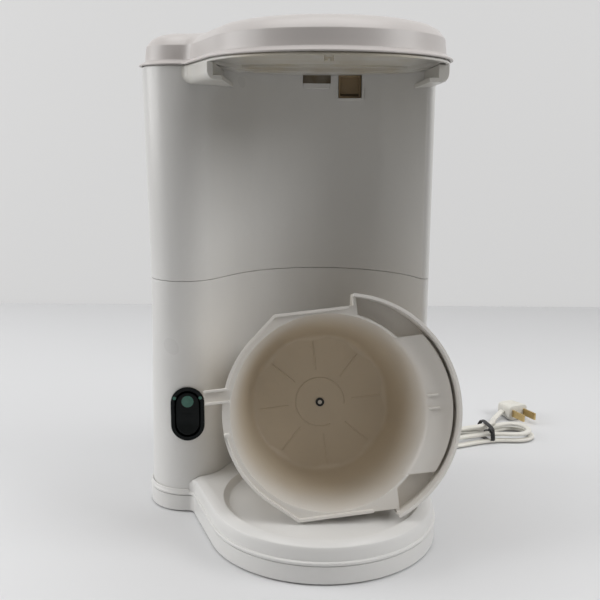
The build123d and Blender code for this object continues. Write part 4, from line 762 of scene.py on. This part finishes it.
# Small hardware and the parts inside: feet, screws, pins, hoses, heater, wires and valve, each
# in its own plain finish.
finishes = {
    "foot_rubber": (("feet",), (0.035, 0.035, 0.036), (0.06, 0.06, 0.058), 0.0, 0.6),
    "screw_steel": (
        ("pan_screws", "deck_screws", "lid_hinge_pins", "hose_clamps"),
        (0.55, 0.55, 0.56), (0.40, 0.40, 0.41), 1.0, 0.3,
    ),
    "inner_white": (
        ("riser_tube", "check_valve", "check_ball", "valve_stem"),
        (0.70, 0.69, 0.65), (0.60, 0.57, 0.50), 0.0, 0.3,
    ),
    "hose_beige": (
        ("tank_grommet", "supply_hose", "delivery_hose"),
        (0.58, 0.55, 0.47), (0.48, 0.44, 0.36), 0.0, 0.45,
    ),
    "heater_cast": (("heater_tube",), (0.66, 0.66, 0.67), (0.5, 0.5, 0.5), 1.0, 0.42),
    "heater_steel": (
        ("heater_element", "heater_bracket", "thermostat", "thermal_fuse", "valve_spring"),
        (0.52, 0.51, 0.50), (0.38, 0.37, 0.36), 1.0, 0.34,
    ),
    "switch_back": (("switch_body",), (0.012, 0.012, 0.013), (0.03, 0.03, 0.03), 0.0, 0.4),
    "plug_brass": (
        ("switch_terminals", "plug_blades"), (0.62, 0.47, 0.22), (0.45, 0.32, 0.15), 1.0, 0.3,
    ),
    "wire_white": (("lead_wires",), (0.66, 0.65, 0.62), (0.55, 0.54, 0.50), 0.0, 0.4),
    "seal_rubber": (("valve_seal",), (0.008, 0.008, 0.008), (0.02, 0.02, 0.02), 0.0, 0.5),
}
for finish, (named, colour, shade, metallic, roughness) in finishes.items():
    material = moulded(
        finish, colour, shade, metallic=metallic, roughness=roughness, patch_scale=90.0, patch_amount=0.5
    )
    for name in named:
        nodes[name].data.materials.clear()
        nodes[name].data.materials.append(material)

# Pale table top and wall. What reaches the maker from the table comes from its nearer part only,
# as on a small shooting table; further off it still looks pale to the eye and in gloss.
def stage_card(name, corners, colour, bounce, near, glow):
    """A flat card. To the camera and in gloss it has its own colour; for soft light that it
    sends back it is darker past the near distance. Its glow is only for the camera and gloss.
    From behind or below the card is clear, so the maker's back and underside can be seen."""
    mesh = bpy.data.meshes.new(name)
    mesh.from_pydata(corners, [], [(0, 1, 2, 3)])
    card = bpy.data.objects.new(name, mesh)
    scene.collection.objects.link(card)
    material = bpy.data.materials.new(name)
    material.use_nodes = True
    tree = material.node_tree
    make, join = tree.nodes.new, tree.links.new
    shader = tree.nodes["Principled BSDF"]
    shader.inputs["Roughness"].default_value = 0.65
    path = make("ShaderNodeLightPath")
    seen = make("ShaderNodeMath")
    seen.operation = "MAXIMUM"
    join(path.outputs["Is Camera Ray"], seen.inputs[0])
    join(path.outputs["Is Glossy Ray"], seen.inputs[1])
    lit = make("ShaderNodeMath")
    lit.operation = "MAXIMUM"
    join(seen.outputs[0], lit.inputs[0])
    place = make("ShaderNodeTexCoord")
    away = make("ShaderNodeVectorMath")
    away.operation = "LENGTH"
    join(place.outputs["Object"], away.inputs[0])
    nearness = make("ShaderNodeMapRange")
    for socket, value in zip(("From Min", "From Max", "To Min", "To Max"), (near, near + 0.15, 1, 0)):
        nearness.inputs[socket].default_value = value
    join(away.outputs["Value"], nearness.inputs["Value"])
    join(nearness.outputs["Result"], lit.inputs[1])
    tone = make("ShaderNodeMix")
    tone.data_type = "RGBA"
    tone.inputs[6].default_value = (bounce, bounce, bounce, 1)
    tone.inputs[7].default_value = (*colour, 1)
    join(lit.outputs[0], tone.inputs["Factor"])
    join(tone.outputs[2], shader.inputs["Base Color"])
    shader.inputs["Emission Color"].default_value = (glow, glow, glow, 1)
    join(seen.outputs[0], shader.inputs["Emission Strength"])
    face = make("ShaderNodeNewGeometry")
    clear = make("ShaderNodeBsdfTransparent")
    either = make("ShaderNodeMixShader")
    join(face.outputs["Backfacing"], either.inputs[0])
    join(shader.outputs[0], either.inputs[1])
    join(clear.outputs[0], either.inputs[2])
    join(either.outputs[0], tree.nodes["Material Output"].inputs["Surface"])
    mesh.materials.append(material)


stage_card(
    "table_top", [(-3, -2, 0), (3, -2, 0), (3, 0.75, 0), (-3, 0.75, 0)], (0.70, 0.705, 0.715),
    bounce=0.2, near=0.2, glow=0.0,
)
stage_card(
    "wall", [(-3, 0.76, -0.5), (3, 0.76, -0.5), (3, 0.76, 1.6), (-3, 0.76, 1.6)], (0.2, 0.2, 0.2),
    bounce=0.25, near=0.0, glow=0.5,
)

# Room light and lamps: a dim warm room that looks paler to the camera and in gloss, and four
# soft boxes at the left, the right, overhead and in front.
world = bpy.data.worlds.new("studio")
scene.world = world
world.use_nodes = True
sky = world.node_tree.nodes["Background"]
sky.inputs["Color"].default_value = (1.0, 0.97, 0.94, 1)
ray = world.node_tree.nodes.new("ShaderNodeLightPath")
shown = world.node_tree.nodes.new("ShaderNodeMath")
shown.operation = "MAXIMUM"
world.node_tree.links.new(ray.outputs["Is Camera Ray"], shown.inputs[0])
world.node_tree.links.new(ray.outputs["Is Glossy Ray"], shown.inputs[1])
level = world.node_tree.nodes.new("ShaderNodeMapRange")
level.inputs["To Min"].default_value = 0.14
level.inputs["To Max"].default_value = 0.5
world.node_tree.links.new(shown.outputs[0], level.inputs["Value"])
world.node_tree.links.new(level.outputs["Result"], sky.inputs["Strength"])
scene.view_settings.view_transform = "Standard"


def lamp(name, at, towards, size, power, colour=(1, 1, 1)):
    """A soft box: a rectangular area lamp (width, height) aimed at a point."""
    data = bpy.data.lights.new(name, "AREA")
    data.shape = "RECTANGLE"
    data.size, data.size_y = size
    data.energy = power
    data.color = colour
    obj = bpy.data.objects.new(name, data)
    obj.location = at
    obj.rotation_euler = (Vector(towards) - Vector(at)).to_track_quat("-Z", "Y").to_euler()
    scene.collection.objects.link(obj)


lamp("left_box", (-1.25, 0.0, 0.62), (0, 0.04, 0.16), (1.0, 0.9), 10.5)
lamp("right_box", (1.0, -0.3, 0.72), (0, 0.0, 0.1), (0.7, 0.5), 6.4)
lamp("top_box", (0.0, 0.22, 2.4), (0, 0.15, 0), (2.2, 1.5), 30)
lamp("front_box", (0.0, -0.9, 1.6), (0, 0, 0.1), (1.3, 0.8), 2.3, (1.0, 0.96, 0.92))
